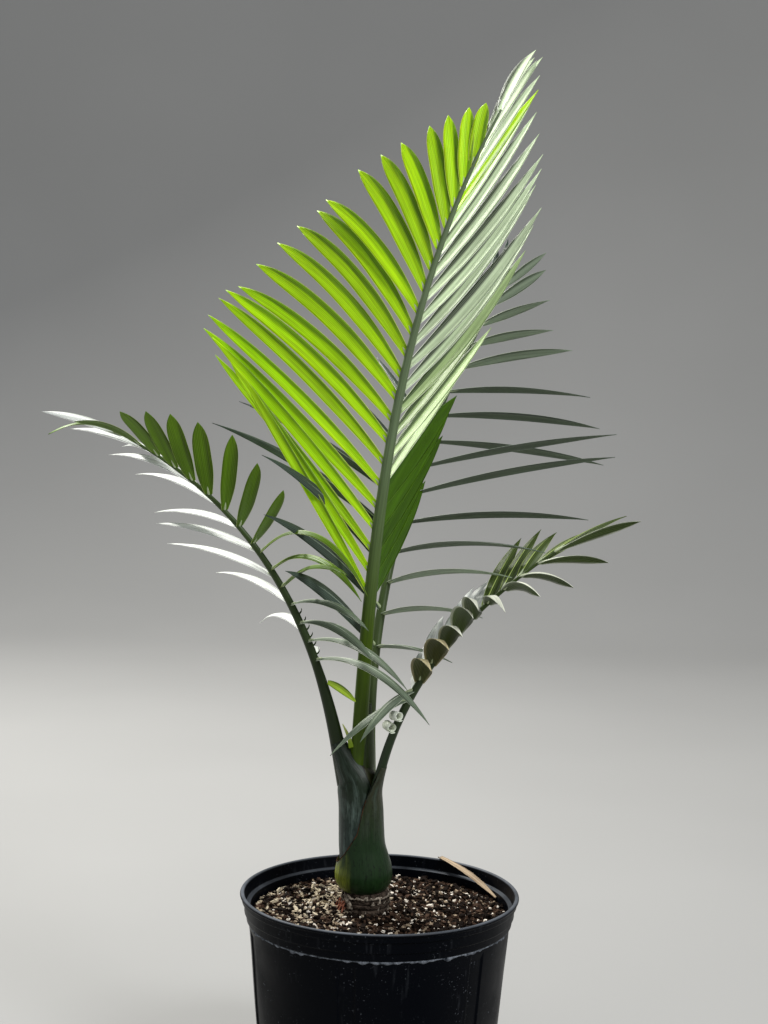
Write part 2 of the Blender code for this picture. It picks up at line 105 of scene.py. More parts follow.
# Share up the stub, and its radius there
STUB_STEPS = (
    (0, 0.0245), (0.16, 0.0250), (0.34, 0.0232), (0.48, 0.0244), (0.64, 0.0226), (0.78, 0.0238), (1, 0.0222),
)
# Height of each torn collar's foot, how tall it is and how far it leans out
COLLARS = (
    (0.2215, 0.0045, 0.0028), (0.2270, 0.0050, 0.0024), (0.2320, 0.0050, 0.0020), (0.2365, 0.0052, 0.0014),
)

# The leaflets
LEAF_WIDTH = 0.015
SHINGLE = math.radians(14)
LEAF_STEPS = 34
LEAF_FOOT = 0.36
CREASE = 0.012  # how softly the blade folds at its midrib
FOOT_LENGTH = 0.012
VEIN_SPACING = 0.0016
ROLL_TURNS = 1.35
STALK_ROOT = 0.045

# The camera
CAMERA_PLACE = (-0.0037, -1.7724, 0.7721)
CAMERA_PITCH = math.radians(4.818)
CAMERA_ROLL = math.radians(1.221)
CAMERA_LENS = 63.28
SENSOR_WIDTH = 36.0

# The lights
KEY_PLACE = (-1.4, 1.8, 2.9)
FILL_PLACE = (1.9, -2.0, 2.5)
LIGHTS_AIM = (0.0, 0.0, 0.6)


@dataclass
class Row:
    """Leaflets down one side of a rachis; tuples run evenly from the row's first leaflet to its last."""

    name: str
    count: int
    first: float  # place along the spine, from 0 to 1
    last: float
    side: int  # 1 or -1: which side of the rachis
    reach: tuple  # length, m
    spread: tuple  # angle off the rachis, degrees
    lift: tuple  # rise towards the frond's upper face, degrees
    sag: tuple  # how far its own weight turns it down
    facing: tuple  # where the leaflet's upper face looks
    fold: float = 16.0  # each half's slope down from the midrib, degrees
    tip: float = 2.0  # how full the outer end is: 1 is a straight taper
    broad: tuple = (1.0,)  # share of the usual width
    twist: float = 0.0  # turn about its own midrib from foot to tip, degrees
    uneven: float = 2.0  # how far single leaflets stray from the row's angles, degrees
    tones: tuple = ("lime",)  # leaf colours, spread evenly from the first leaflet to the last


@dataclass
class Frond:
    """One leaf: its stalk and rachis follow a cubic Bezier."""

    spine: tuple  # its four points
    radii: tuple  # of the stalk at its foot, the blade's foot and the tip
    blade_from: float
    upper_face: tuple  # at the blade's foot and at its tip
    rows: tuple


FRONDS = {
    "a": Frond(
        spine=((-0.0234, -0.004, 0.3964), (-0.0144, -0.005, 0.6106),
               (0.002, 0.000, 0.825), (0.103, 0.030, 1.0204)),
        radii=(0.0078, 0.0066, 0.0013),
        blade_from=0.20,
        upper_face=((-0.45, 0.9, 0.0), (-0.45, 0.9, 0.0)),
        rows=(
            Row("left", 21, 0.22, 0.90, +1, (0.252, 0.252, 0.238, 0.190, 0.128, 0.068),
                (36, 47, 49, 45, 34, 15), (25, 33, 49, 56, 47, 31),
                (0.09, 0.20, 0.46, 0.53, 0.53, 0.52), (-0.15, 0.99, 0.0),
                fold=15.0, tip=4.5, broad=(0.80, 0.95, 1.16, 1.18, 1.05), uneven=1.2, tones=("lime",)),
            Row("basal", 5, 0.22, 0.362, -1, (0.164, 0.210), (39, 49), (42, 43), (0.22, 0.21),
                (0.1, 0.99, 0.0), fold=14.0, tip=2.2, broad=(1.2, 1.35), uneven=1.2, tones=("deep",)),
            Row("right", 18, 0.397, 1.0, -1, (0.221, 0.254, 0.248, 0.230, 0.193, 0.118),
                (49, 45, 43, 35, 27, 31), (39, 19, 24, 39, 57, 75),
                (0.12, -0.40, -0.35, -0.09, 0.21, 0.41), (0.6, 0.8, 0.0),
                fold=20.0, tip=2.0, broad=(1.25, 1.15, 1.05, 1.0), uneven=1.2,
                tones=("fresh",) * 4 + ("silver",) * 8 + ("lime",) + ("silver",) * 5),
        ),
    ),
    "b": Frond(
        spine=((-0.0141, 0.0122, 0.3968), (-0.0136, 0.035, 0.560),
               (0.037, 0.130, 0.7175), (0.126, 0.260, 0.859)),
        radii=(0.0065, 0.0052, 0.0012),
        blade_from=0.14,
        upper_face=((-0.3, -0.85, 0.45), (-0.6, -0.6, 0.6)),
        rows=(
            Row("right", 15, 0.16, 1.0, +1, (0.104, 0.201, 0.223, 0.173, 0.088, 0.060),
                (84, 79, 61, 64, 61, 30), (25, 28, -25, -32, 3, 19),
                (0.57, 0.45, 0.18, 0.34, 0.37, 0.27), (0.0, 0.30, 0.95),
                fold=20.0, tip=2.4, broad=(0.9, 1.2), uneven=4.0,
                tones=("sage",) * 3 + ("shade",) * 7 + ("sage",) * 5),
            Row("left", 13, 0.16, 1.0, -1, (0.170, 0.220, 0.248, 0.226, 0.182, 0.090),
                (57, 71, 51, 33, 34, 25), (70, 74, -6, -39, -27, -7),
                (0.54, 0.52, 0.31, 0.01, -0.12, -0.40), (0.1, -0.75, 0.65),
                fold=20.0, tip=2.0, broad=(1.15, 1.0), uneven=3.0, tones=("shade",)),
        ),
    ),
    "c": Frond(
        spine=((-0.0456, -0.002, 0.3928), (-0.075, -0.010, 0.527),
               (-0.136, -0.015, 0.631), (-0.2645, 0.010, 0.693)),
        radii=(0.0073, 0.0048, 0.0011),
        blade_from=0.20,
        upper_face=((0.6, 0.2, 0.8), (0.4, 0.3, 0.9)),
        rows=(
            Row("lower", 7, 0.22, 0.53, -1, (0.178, 0.177, 0.169, 0.164), (86, 86, 80, 78), (30, 15, 17, 47),
                (1.09, 0.66, 0.66, 1.85), (0.0, 0.0, 1.0), fold=22.0, tip=2.2, broad=(0.9, 0.8), uneven=2.0,
                tones=("sage",) * 4 + ("olive",) * 3),
            Row("near", 9, 0.56, 1.0, -1, (0.094, 0.095, 0.078, 0.066, 0.080), (81, 67, 48, 43, 24),
                (23, 29, 24, 20, 7), (-0.26, -0.27, -0.39, 0.32, 1.17), (0.0, 0.0, 1.0),
                fold=9.0, tip=4.5, broad=(1.0, 1.1, 1.15, 1.0), uneven=1.5, tones=("olive",)),
            Row("far", 11, 0.22, 1.0, +1, (0.149, 0.165, 0.157, 0.154, 0.123, 0.093),
                (78, 59, 50, 37, 43, 6), (14, -8, -14, 2, 21, -8),
                (0.95, 0.50, 0.40, 0.56, 0.65, 0.38), (0.0, -0.2, 0.97),
                fold=18.0, tip=1.9, broad=(0.75, 0.85), uneven=5.0, tones=("glare",)),
        ),
    ),
    "d": Frond(
        spine=((0.0001, -0.0206, 0.37435), (0.0233, -0.050, 0.471),
               (0.0826, -0.060, 0.538), (0.1606, -0.070, 0.595)),
        radii=(0.0048, 0.0042, 0.0011),
        blade_from=0.24,
        upper_face=((-0.8, 0.0, 0.6), (-0.6, 0.0, 0.8)),
        rows=(
            Row("basal", 2, 0.27, 0.31, +1, (0.098, 0.078), (118, 114), (56, 50), (1.1, 1.5), (0.0, 0.0, 1.0),
                fold=24.0, tip=1.9, broad=(1.0,), tones=("sage",)),
            Row("near", 10, 0.34, 1.0, +1, (0.092, 0.095, 0.096, 0.091, 0.084, 0.100),
                (35, 43, 48, 57, 49, 25), (29, 34, 33, 19, -4, -2),
                (1.06, 1.03, 0.89, 0.91, 0.70, 0.32), (0.0, 0.0, 1.0),
                fold=30.0, tip=2.4, broad=(1.7, 1.7, 1.4, 0.9), twist=55.0, uneven=3.0,
                tones=("scorched",) * 2 + ("turned",) * 8),
            Row("far", 10, 0.30, 1.0, -1, (0.083, 0.095, 0.092, 0.101, 0.082, 0.081),
                (57, 52, 52, 46, 38, 20), (16, 15, 12, 19, 11, 2),
                (0.50, 0.40, 0.56, 0.30, 0.54, 0.41), (0.0, 0.0, 1.0),
                fold=26.0, tip=1.6, broad=(1.2, 0.9), uneven=4.0, tones=("glare",) * 5 + ("dusk",) * 5),
        ),
    ),
}

# Sheath rings: height, centre X, centre Y and radius
OUTER_SHEATH = (
    (0.2425, -0.0160, 0.0, 0.0226), (0.2465, -0.0161, 0.0, 0.0258), (0.2520, -0.0163, 0.0, 0.0281),
    (0.2590, -0.0165, 0.0, 0.0289), (0.2660, -0.0168, 0.0, 0.0281), (0.2730, -0.0175, 0.0, 0.0266),
    (0.2850, -0.0187, 0.0, 0.0241), (0.3060, -0.0192, -0.0010, 0.0224), (0.3200, -0.0189, -0.0020, 0.0214),
    (0.3330, -0.0177, -0.004, 0.0196), (0.3440, -0.0150, -0.0075, 0.0166), (0.3540, -0.0106, -0.012, 0.0126),
    (0.3640, -0.0056, -0.0165, 0.0090), (0.3740, 0.0000, -0.0205, 0.0053),
)
LEFT_SHEATH = (
    (0.2560, -0.0173, 0.0, 0.0204), (0.2680, -0.0184, 0.0, 0.0214), (0.2810, -0.0199, 0.0, 0.0216),
    (0.3060, -0.0211, 0.0, 0.0214), (0.3310, -0.0220, 0.0, 0.0212), (0.3460, -0.0232, 0.0, 0.0215),
    (0.3560, -0.0260, 0.0, 0.0195), (0.3675, -0.0326, -0.001, 0.0152), (0.3795, -0.0393, -0.0015, 0.0108),
    (0.3925, -0.0456, -0.002, 0.0075),
)
SPEAR_BASE = (
    (0.3260, -0.0205, 0.003, 0.0158), (0.3560, -0.0200, 0.004, 0.0152), (0.3760, -0.0196, 0.004, 0.0146),
    (0.3880, -0.0195, 0.004, 0.0136), (0.4000, -0.0192, 0.0045, 0.0122), (0.4150, -0.0185, 0.0055, 0.0098),
    (0.4300, -0.0178, 0.0065, 0.0070),
)
# The open left margin of the outer sheath: X and height
SHEATH_MARGIN = (
    (-0.0440, 0.2700), (-0.0361, 0.2810), (-0.0236, 0.3030), (-0.0182, 0.3286), (-0.0116, 0.3529),
    (-0.0071, 0.3660), (-0.0062, 0.3780),
)
SPEAR_NARROW = 0.82
OUTER_LENGTH = 0.132
OPEN_BELOW = 0.985  # share of the outer sheath's length where its margin has closed on the stalk

# Colour on the leaf bases
BROWN_FROM = (0.322, 0.368)
# Where the painted light on the bulb's left side reaches, in X and in height
FLANK_X = (-0.028, -0.047)
FLANK_Z = (0.304, 0.276)
MARGIN_SLOPE = 0.47
MARGIN_PAST = (0.1536, 0.1548)
MARGIN_LINE = (0.1541, 0.0006)  # its place and half width


def linear(code):
    """The linear red, green and blue of an sRGB hex colour."""
    channels = np.array([int(code[i:i + 2], 16) for i in (1, 3, 5)]) / 255.0
    return tuple(np.where(channels <= 0.04045, channels / 12.92, ((channels + 0.055) / 1.055) ** 2.4))


def colour_property(name, description, code):
    """A colour that a user may change."""
    return FloatVectorProperty(
        name=name, description=description, default=linear(code), subtype="COLOR", size=3, min=0.0, max=1.0
    )


class PotSettings(bpy.types.PropertyGroup):
    """The nursery pot and what fills it."""

    plastic: colour_property("Plastic", "Colour of the pot", "#020409")
    # Also the colour of the painted highlight on the pot's upward faces and lip.
    dust_and_highlight: colour_property("Dust", "Colour of the dust and scuffs on the pot", "#8a9099")
    bark: colour_property("Bark", "Colour of the moist fine bark", "#22160f")
    chips: IntProperty(name="Chips", description="Number of loose bark chips", default=5600, min=0, max=8000)


class StemSettings(bpy.types.PropertyGroup):
    """The sheaths and the leaf stalks."""

    sheath: colour_property("Sheath", "Green of the leaf bases", "#182e14")
    bloom: colour_property("Bloom", "Grey wax over the leaf bases", "#3c4a40")
    # Painted light: the yellow-green that light gives the bulb's left side.
    flank: colour_property("Flank", "Yellow-green of the bulb's left side", "#b4be44")
    fibre: colour_property("Fibre", "Dry fibre of the stem's foot", "#5a4e44")


class LeafSettings(bpy.types.PropertyGroup):
    """The leaflets."""

    width: FloatProperty(
        name="Leaflet width", description="Width of a full leaflet", default=LEAF_WIDTH,
        min=0.008, max=0.020, subtype="DISTANCE", unit="LENGTH"
    )
    # Lime is partly a painted glow of light through the leaflets; silver is the pale waxy underside
    # brightened by painted glare.
    lime: colour_property("Lime", "Leaflets with light behind them", "#b4e204")
    silver: colour_property("Silver", "Leaflets seen on their pale waxy side", "#dcefc4")
    deep: colour_property("Deep", "Dark green leaflets", "#3c5e04")
    shade: colour_property("Shade", "Leaflets in their own shade", "#3c4a40")
    olive: colour_property("Olive", "Near leaflets of the left leaf", "#557804")


class StageSettings(bpy.types.PropertyGroup):
    """Floor, lights and camera."""

    floor: colour_property("Floor", "Colour of the floor and backdrop", "#a4a4a3")
    key: FloatProperty(
        name="Key light", description="Power of the light behind", default=150.0, min=0.0, unit="POWER"
    )
    fill: FloatProperty(
        name="Fill light", description="Power of the light in front", default=64.0, min=0.0, unit="POWER"
    )


# Shapes


def unit(vectors):
    """Vectors of length one."""
    return vectors / np.maximum(np.linalg.norm(vectors, axis=-1, keepdims=True), 1e-12)


def eased(values):
    """Values from 0 to 1 that start and end gently: 3v squared less 2v cubed."""
    values = np.clip(values, 0.0, 1.0)
    return values * values * (3.0 - 2.0 * values)


def along_spine(frond, places):
    """Points and directions at even distances along the frond's Bezier."""
    a, b, c, d = (np.array(point) for point in frond.spine)
    t = np.linspace(0.0, 1.0, 400)[:, None]
    curve = (1 - t) ** 3 * a + 3 * (1 - t) ** 2 * t * b + 3 * (1 - t) * t**2 * c + t**3 * d
    run = np.concatenate([[0.0], np.cumsum(np.linalg.norm(np.diff(curve, axis=0), axis=1))])
    run /= run[-1]
    heading = np.gradient(curve, axis=0)
    points = np.stack([np.interp(places, run, curve[:, k]) for k in range(3)], axis=-1)
    headings = np.stack([np.interp(places, run, heading[:, k]) for k in range(3)], axis=-1)
    return points, unit(headings)


def smooth_rows(table, heights):
    """Centres and radii of a sheath between its rings, by a cubic through each pair of rings.

    Each ring's slope is the one through its two neighbours, so the sides bend without corners.
    """
    rows = np.array(table)
    keys = rows[:, 0]
    slopes = np.gradient(rows[:, 1:], keys, axis=0)
    index = np.clip(np.searchsorted(keys, heights, side="right") - 1, 0, len(keys) - 2)
    span = (keys[index + 1] - keys[index])[..., None]
    t = (heights[..., None] - keys[index][..., None]) / span
    start, end = rows[index, 1:], rows[index + 1, 1:]
    return (
        (2 * t**3 - 3 * t**2 + 1) * start
        + (t**3 - 2 * t**2 + t) * span * slopes[index]
        + (3 * t**2 - 2 * t**3) * end
        + (t**3 - t**2) * span * slopes[index + 1]
    )


def ripple(points, size, seed, waves=9):
    """Smooth random unevenness from -1 to 1: a mean of sine waves in seeded directions, size metres long."""
    rng = np.random.default_rng(seed)
    ways = unit(rng.normal(size=(waves, 3))) * math.tau / (size * rng.uniform(0.6, 1.6, (waves, 1)))
    phases = rng.uniform(0.0, math.tau, waves)
    return np.sin(points @ ways.T + phases).mean(axis=-1) * 2.0


def spokes(turn):
    """Directions that point away from the Z axis, at angles round it."""
    return np.stack([np.cos(turn), np.sin(turn), 0.0 * turn], axis=-1)


def make_mesh(name, points, faces, smooth=True):
    """A mesh from its points and the corners of its faces, shaded smooth or flat all over."""
    mesh = bpy.data.meshes.new(name)
    mesh.from_pydata(points.tolist(), [], faces)
    mesh.polygons.foreach_set("use_smooth", np.full(len(mesh.polygons), smooth))
    mesh.update()
    return mesh


def enclosed(points, faces):
    """Six times the volume inside the faces, below 0 where they are inside out.

    Each face is a fan of triangles, and each triangle adds the product of its first corner with the cross
    product of the other two.
    """
    corners = points[faces]
    total = 0.0
    for k in range(1, faces.shape[1] - 1):
        total += np.einsum("ij,ij->i", corners[:, 0], np.cross(corners[:, k], corners[:, k + 1])).sum()
    return total


def tubes(name, rings, grain=None, underside=None, smooth=True):
    """One mesh of many closed tubes.

    rings[n, i, j] is point j of ring i of tube n. Neighbouring rings are joined by four-sided faces, each
    ring closes on itself, and the first and last ring each close on their own middle. Where the tubes come
    out inside out, every face is turned round. grain, a vector for each point, and underside, a number for
    each point, are kept as attributes.
    """
    tube_count, ring_count, side_count = rings.shape[:3]
    ends = rings[:, [0, -1]].mean(axis=2)
    points = np.concatenate([rings.reshape(tube_count, -1, 3), ends], axis=1)
    per_tube = points.shape[1]
    i, j = np.meshgrid(np.arange(ring_count - 1), np.arange(side_count), indexing="ij")
    k = (j + 1) % side_count
    low, high = i * side_count, (i + 1) * side_count
    sides = np.stack([low + j, low + k, high + k, high + j], -1)
    j, k = np.arange(side_count), (np.arange(side_count) + 1) % side_count
    last = (ring_count - 1) * side_count
    first_cap = np.stack([np.full(side_count, per_tube - 2), k, j], -1)
    last_cap = np.stack([np.full(side_count, per_tube - 1), last + j, last + k], -1)
    caps = np.concatenate([first_cap, last_cap])
    offsets = (np.arange(tube_count) * per_tube)[:, None, None]
    sides = (sides.reshape(1, -1, 4) + offsets).reshape(-1, 4)
    caps = (caps[None] + offsets).reshape(-1, 3)
    flat = points.reshape(-1, 3)
    if enclosed(flat, sides) + enclosed(flat, caps) < 0.0:
        sides, caps = sides[:, ::-1], caps[:, ::-1]
    mesh = make_mesh(name, flat, sides.tolist() + caps.tolist(), smooth)
    if grain is not None:
        grain_ends = grain[:, [0, -1]].mean(axis=2)
        values = np.concatenate([grain.reshape(tube_count, -1, 3), grain_ends], axis=1)
        mesh.attributes.new("grain", "FLOAT_VECTOR", "POINT").data.foreach_set("vector", values.ravel())
    if underside is not None:
        values = np.concatenate([underside.reshape(tube_count, -1), np.zeros((tube_count, 2))], axis=1)
        mesh.attributes.new("underside", "FLOAT", "POINT").data.foreach_set("value", values.ravel())
    return mesh


def dress(name, mesh, material, slot, *nodes):
    """Puts a finished mesh in the scene, riding on the part, in place of CAD nodes."""
    obj = bpy.data.objects.new(name, mesh)
    bpy.context.scene.collection.objects.link(obj)
    mesh.materials.append(material)
    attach(obj, "root")
    if nodes:
        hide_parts(*nodes)
    return obj


def round_rods(centres, radii, sides, squash=1.0):
    """Rings of round rods. centres[n, i] are points along rod n and radii[n, i] their radii.

    Each ring lies square to the way the rod runs. squash flattens it along its second direction.
    """
    ways = unit(np.gradient(centres, axis=1))
    across = np.where(np.abs(ways[:, :1, 2:3]) < 0.9, UP, np.array((1.0, 0.0, 0.0)))
    first = unit(np.cross(ways, across))
    second = np.cross(ways, first)
    turn = np.linspace(0.0, math.tau, sides, endpoint=False)
    return (
        centres[:, :, None]
        + radii[:, :, None, None] * np.cos(turn)[:, None] * first[:, :, None]
        + radii[:, :, None, None] * squash * np.sin(turn)[:, None] * second[:, :, None]
    )


def rounded(profile, cut):
    """A profile with its corners rounded: each corner becomes a short parabola between points cut off it."""
    points = np.array(profile)
    before = unit(points[:-2] - points[1:-1])
    after = unit(points[2:] - points[1:-1])
    gaps = np.linalg.norm(np.diff(points, axis=0), axis=1, keepdims=True) * 0.45
    start = points[1:-1] + before * np.minimum(cut, gaps[:-1])
    end = points[1:-1] + after * np.minimum(cut, gaps[1:])
    t = np.linspace(0.0, 1.0, 4)[:, None, None]
    arcs = (1 - t) ** 2 * start + 2 * (1 - t) * t * points[1:-1] + t**2 * end
    return np.concatenate([points[:1], arcs.transpose(1, 0, 2).reshape(-1, 2), points[-1:]])


# Materials


def add_node(tree, kind, inputs=None, output=0, **settings):
    """Adds a node with its settings and gives one of its outputs.

    inputs holds a value or a socket for each input, by name or number.
    """
    made = tree.nodes.new(kind)
    for key, value in settings.items():
        setattr(made, key, value)
    for key, value in (inputs or {}).items():
        if isinstance(value, bpy.types.NodeSocket):
            tree.links.new(value, made.inputs[key])
        else:
            made.inputs[key].default_value = value
    return made.outputs[output]


def new_finish(name, roughness, ior, **sockets):
    """A material with its Principled shader's plain values set; gives the material, tree and shader."""
    material = bpy.data.materials.new(name)
    material.use_nodes = True
    tree = material.node_tree
    shader = tree.nodes["Principled BSDF"]
    shader.inputs["Roughness"].default_value = roughness
    shader.inputs["IOR"].default_value = ior
    for key, value in sockets.items():
        shader.inputs[key.replace("_", " ")].default_value = value
    return material, tree, shader


def black_polyethylene(settings):
    """Blow-moulded polyethylene: a waxy low gloss, dust specks, upright rub marks, painted highlight on top
    faces and lip.
    """
    material, tree, shader = new_finish("black_polyethylene", 0.30, 1.51, Specular_IOR_Level=0.05)
    place = add_node(tree, "ShaderNodeTexCoord", output="Object")
    specks = add_node(tree, "ShaderNodeTexNoise", {"Vector": place, "Scale": 420.0, "Detail": 2.0})
    drifts = add_node(tree, "ShaderNodeTexNoise", {"Vector": place, "Scale": 26.0, "Detail": 3.0})
    upright = add_node(tree, "ShaderNodeMapping", {"Vector": place, "Scale": (1.0, 1.0, 0.12)})
    rubs = add_node(tree, "ShaderNodeTexNoise", {"Vector": upright, "Scale": 170.0, "Detail": 4.0})
    speck = add_node(tree, "ShaderNodeMapRange", {0: specks, 1: 0.66, 2: 0.74})
    drift = add_node(tree, "ShaderNodeMapRange", {0: drifts, 1: 0.42, 2: 0.68})
    rub = add_node(tree, "ShaderNodeMapRange", {0: rubs, 1: 0.60, 2: 0.80, 4: 0.35})
    dusty = add_node(tree, "ShaderNodeMath", {0: speck, 1: drift}, operation="MULTIPLY")
    worn = add_node(tree, "ShaderNodeMath", {0: rub, 1: drift}, operation="MULTIPLY")
    marks = add_node(tree, "ShaderNodeMath", {0: dusty, 1: worn}, operation="MAXIMUM")
    # Painted highlight: faces that look up are mixed towards the pale colour.
    normal = add_node(tree, "ShaderNodeNewGeometry", output="Normal")
    upward = add_node(tree, "ShaderNodeSeparateXYZ", {0: normal}, output=2)
    painted_top_highlight = add_node(tree, "ShaderNodeMapRange", {0: upward, 1: 0.35, 2: 0.95, 3: 0.0, 4: 0.50})
    painted_top_highlight = add_node(tree, "ShaderNodeMath", {0: painted_top_highlight, 1: drifts}, operation="MULTIPLY")
    scuffs = add_node(tree, "ShaderNodeMath", {0: marks, 1: 0.40}, operation="MULTIPLY")
    share = add_node(tree, "ShaderNodeMath", {0: scuffs, 1: painted_top_highlight}, operation="MAXIMUM")
    # Painted highlight along the top of the lip.
    height = add_node(tree, "ShaderNodeSeparateXYZ", {0: place}, output=2)
    lip = add_node(tree, "ShaderNodeMapRange", {0: height, 1: PAINTED_LIP_HIGHLIGHT[0], 2: PAINTED_LIP_HIGHLIGHT[1], 4: 0.75})
    lip = add_node(tree, "ShaderNodeMath", {0: lip, 1: drifts}, operation="MULTIPLY")
    share = add_node(tree, "ShaderNodeMath", {0: share, 1: lip}, operation="MAXIMUM")
    colour = add_node(
        tree,
        "ShaderNodeMix",
        {0: share, 6: (*settings.plastic, 1.0), 7: (*settings.dust_and_highlight, 1.0)},
        data_type="RGBA", output=2
    )
    tree.links.new(colour, shader.inputs["Base Color"])
    rough = add_node(tree, "ShaderNodeMapRange", {0: drifts, 1: 0.3, 2: 0.7, 3: 0.32, 4: 0.50})
    tree.links.new(rough, shader.inputs["Roughness"])
    bump = add_node(tree, "ShaderNodeBump", {"Height": drifts, "Distance": 0.0010, "Strength": 0.5})
    tree.links.new(bump, shader.inputs["Normal"])
    return material


def dry_fibres(name, colour, pale, size):
    """Bark, dry leaf-base fibre, root skin or rubbed plastic: rough and matt, in darker and paler flecks.

    The flecks are about size metres long, and a bump of the same pattern roughens the edge of the light.
    """
    material, tree, shader = new_finish(name, 0.92, 1.45, Specular_IOR_Level=0.12)
    place = add_node(tree, "ShaderNodeTexCoord", output="Object")
    fibres = add_node(
        tree, "ShaderNodeTexNoise", {"Vector": place, "Scale": 1.0 / size, "Detail": 5.0, "Roughness": 0.65}
    )
    share = add_node(tree, "ShaderNodeMapRange", {0: fibres, 1: 0.36, 2: 0.66})
    mixed = add_node(
        tree, "ShaderNodeMix", {0: share, 6: (*colour, 1.0), 7: (*pale, 1.0)}, data_type="RGBA", output=2
    )
    tree.links.new(mixed, shader.inputs["Base Color"])
    bump = add_node(tree, "ShaderNodeBump", {"Height": fibres, "Distance": 0.0012, "Strength": 0.8})
    tree.links.new(bump, shader.inputs["Normal"])
    return material


def grained(tree, across, along, detail=3.0):
    """Noise drawn out along a piece: its grain attribute, in metres, with spots across by along in size."""
    grain = add_node(tree, "ShaderNodeAttribute", attribute_name="grain", output="Vector")
    drawn = add_node(tree, "ShaderNodeMapping", {"Vector": grain, "Scale": (1.0, 1.0, across / along)})
    return add_node(tree, "ShaderNodeTexNoise", {"Vector": drawn, "Scale": 1.0 / across, "Detail": detail})


def waxy_leaf_base(name, low, high, bloom, waxed_at, flank=None, inner=None):
    """A living leaf base: satin green, browner above, under a grey wax bloom that is rubbed off in patches.

    waxed_at holds two heights and the share of the bloom at each. With an inner colour, the sheath's
    slanting margin shows as a dark line with the inner sheath's colour to the right of it.
    """
    material, tree, shader = new_finish(name, 0.42, 1.45, Specular_IOR_Level=0.25)
    patches = grained(tree, 0.006, 0.022, 5.0)
    streaks = grained(tree, 0.0011, 0.030)
    ribs = grained(tree, 0.0006, 0.060, 1.0)
    scurf = grained(tree, 0.0013, 0.0045, 4.0)
    place = add_node(tree, "ShaderNodeTexCoord", output="Object")
    split = add_node(tree, "ShaderNodeSeparateXYZ", {0: place}).node.outputs
    wavy = add_node(tree, "ShaderNodeMath", {0: patches, 1: 0.05, 2: split[2]}, operation="MULTIPLY_ADD")
    higher = add_node(tree, "ShaderNodeMapRange", {0: wavy, 1: BROWN_FROM[0], 2: BROWN_FROM[1]})
    colour = add_node(
        tree, "ShaderNodeMix", {0: higher, 6: (*low, 1.0), 7: (*high, 1.0)}, data_type="RGBA", output=2
    )
    waxed = add_node(tree, "ShaderNodeMapRange", {0: patches, 1: 0.44, 2: 0.60})
    lined = add_node(tree, "ShaderNodeMapRange", {0: streaks, 1: 0.32, 2: 0.62, 3: 0.35, 4: 1.0})
    both = add_node(tree, "ShaderNodeMath", {0: waxed, 1: lined}, operation="MULTIPLY")
    above = add_node(
        tree, "ShaderNodeMapRange", {0: wavy, 1: waxed_at[0], 2: waxed_at[1], 3: waxed_at[2], 4: waxed_at[3]}
    )
    share = add_node(tree, "ShaderNodeMath", {0: both, 1: above}, operation="MULTIPLY")
    colour = add_node(
        tree, "ShaderNodeMix", {0: share, 6: colour, 7: (*bloom, 1.0)}, data_type="RGBA", output=2
    )
    if flank is not None:
        # Painted light: the bulb's left side turns yellow-green where light falls on it.
        leftward = add_node(tree, "ShaderNodeMapRange", {0: split[0], 1: FLANK_X[0], 2: FLANK_X[1]})
        upward = add_node(tree, "ShaderNodeMapRange", {0: wavy, 1: FLANK_Z[0], 2: FLANK_Z[1]})
        near = add_node(tree, "ShaderNodeMath", {0: leftward, 1: upward}, operation="MULTIPLY")
        painted_light_share = add_node(tree, "ShaderNodeMath", {0: near, 1: lined}, operation="MULTIPLY")
        colour = add_node(
            tree, "ShaderNodeMix", {0: painted_light_share, 6: colour, 7: (*flank, 1.0)}, data_type="RGBA", output=2
        )
    if inner is not None:
        slant = add_node(
            tree, "ShaderNodeMath", {0: split[2], 1: MARGIN_SLOPE, 2: split[0]}, operation="MULTIPLY_ADD"
        )
        past = add_node(tree, "ShaderNodeMapRange", {0: slant, 1: MARGIN_PAST[0], 2: MARGIN_PAST[1]})
        colour = add_node(
            tree, "ShaderNodeMix", {0: past, 6: colour, 7: (*inner, 1.0)}, data_type="RGBA", output=2
        )
        line = add_node(
            tree, "ShaderNodeMath", {0: slant, 1: MARGIN_LINE[0], 2: MARGIN_LINE[1]}, operation="COMPARE"
        )
        dark = (*linear("#0d0f08"), 1.0)
        colour = add_node(tree, "ShaderNodeMix", {0: line, 6: colour, 7: dark}, data_type="RGBA", output=2)
    flecks = add_node(tree, "ShaderNodeMapRange", {0: scurf, 1: 0.30, 2: 0.46, 3: 0.45, 4: 1.0})
    fine = add_node(tree, "ShaderNodeMapRange", {0: streaks, 1: 0.30, 2: 0.70, 3: 0.80, 4: 1.25})
    shade = add_node(tree, "ShaderNodeMath", {0: flecks, 1: fine}, operation="MULTIPLY")
    colour = add_node(tree, "ShaderNodeVectorMath", {0: colour, "Scale": shade}, operation="SCALE")
    tree.links.new(colour, shader.inputs["Base Color"])
    rough = add_node(tree, "ShaderNodeMapRange", {0: share, 1: 0.0, 2: 1.0, 3: 0.32, 4: 0.62})
    tree.links.new(rough, shader.inputs["Roughness"])
    bump = add_node(tree, "ShaderNodeBump", {"Height": ribs, "Distance": 0.0004, "Strength": 0.6})
    tree.links.new(bump, shader.inputs["Normal"])
    return material


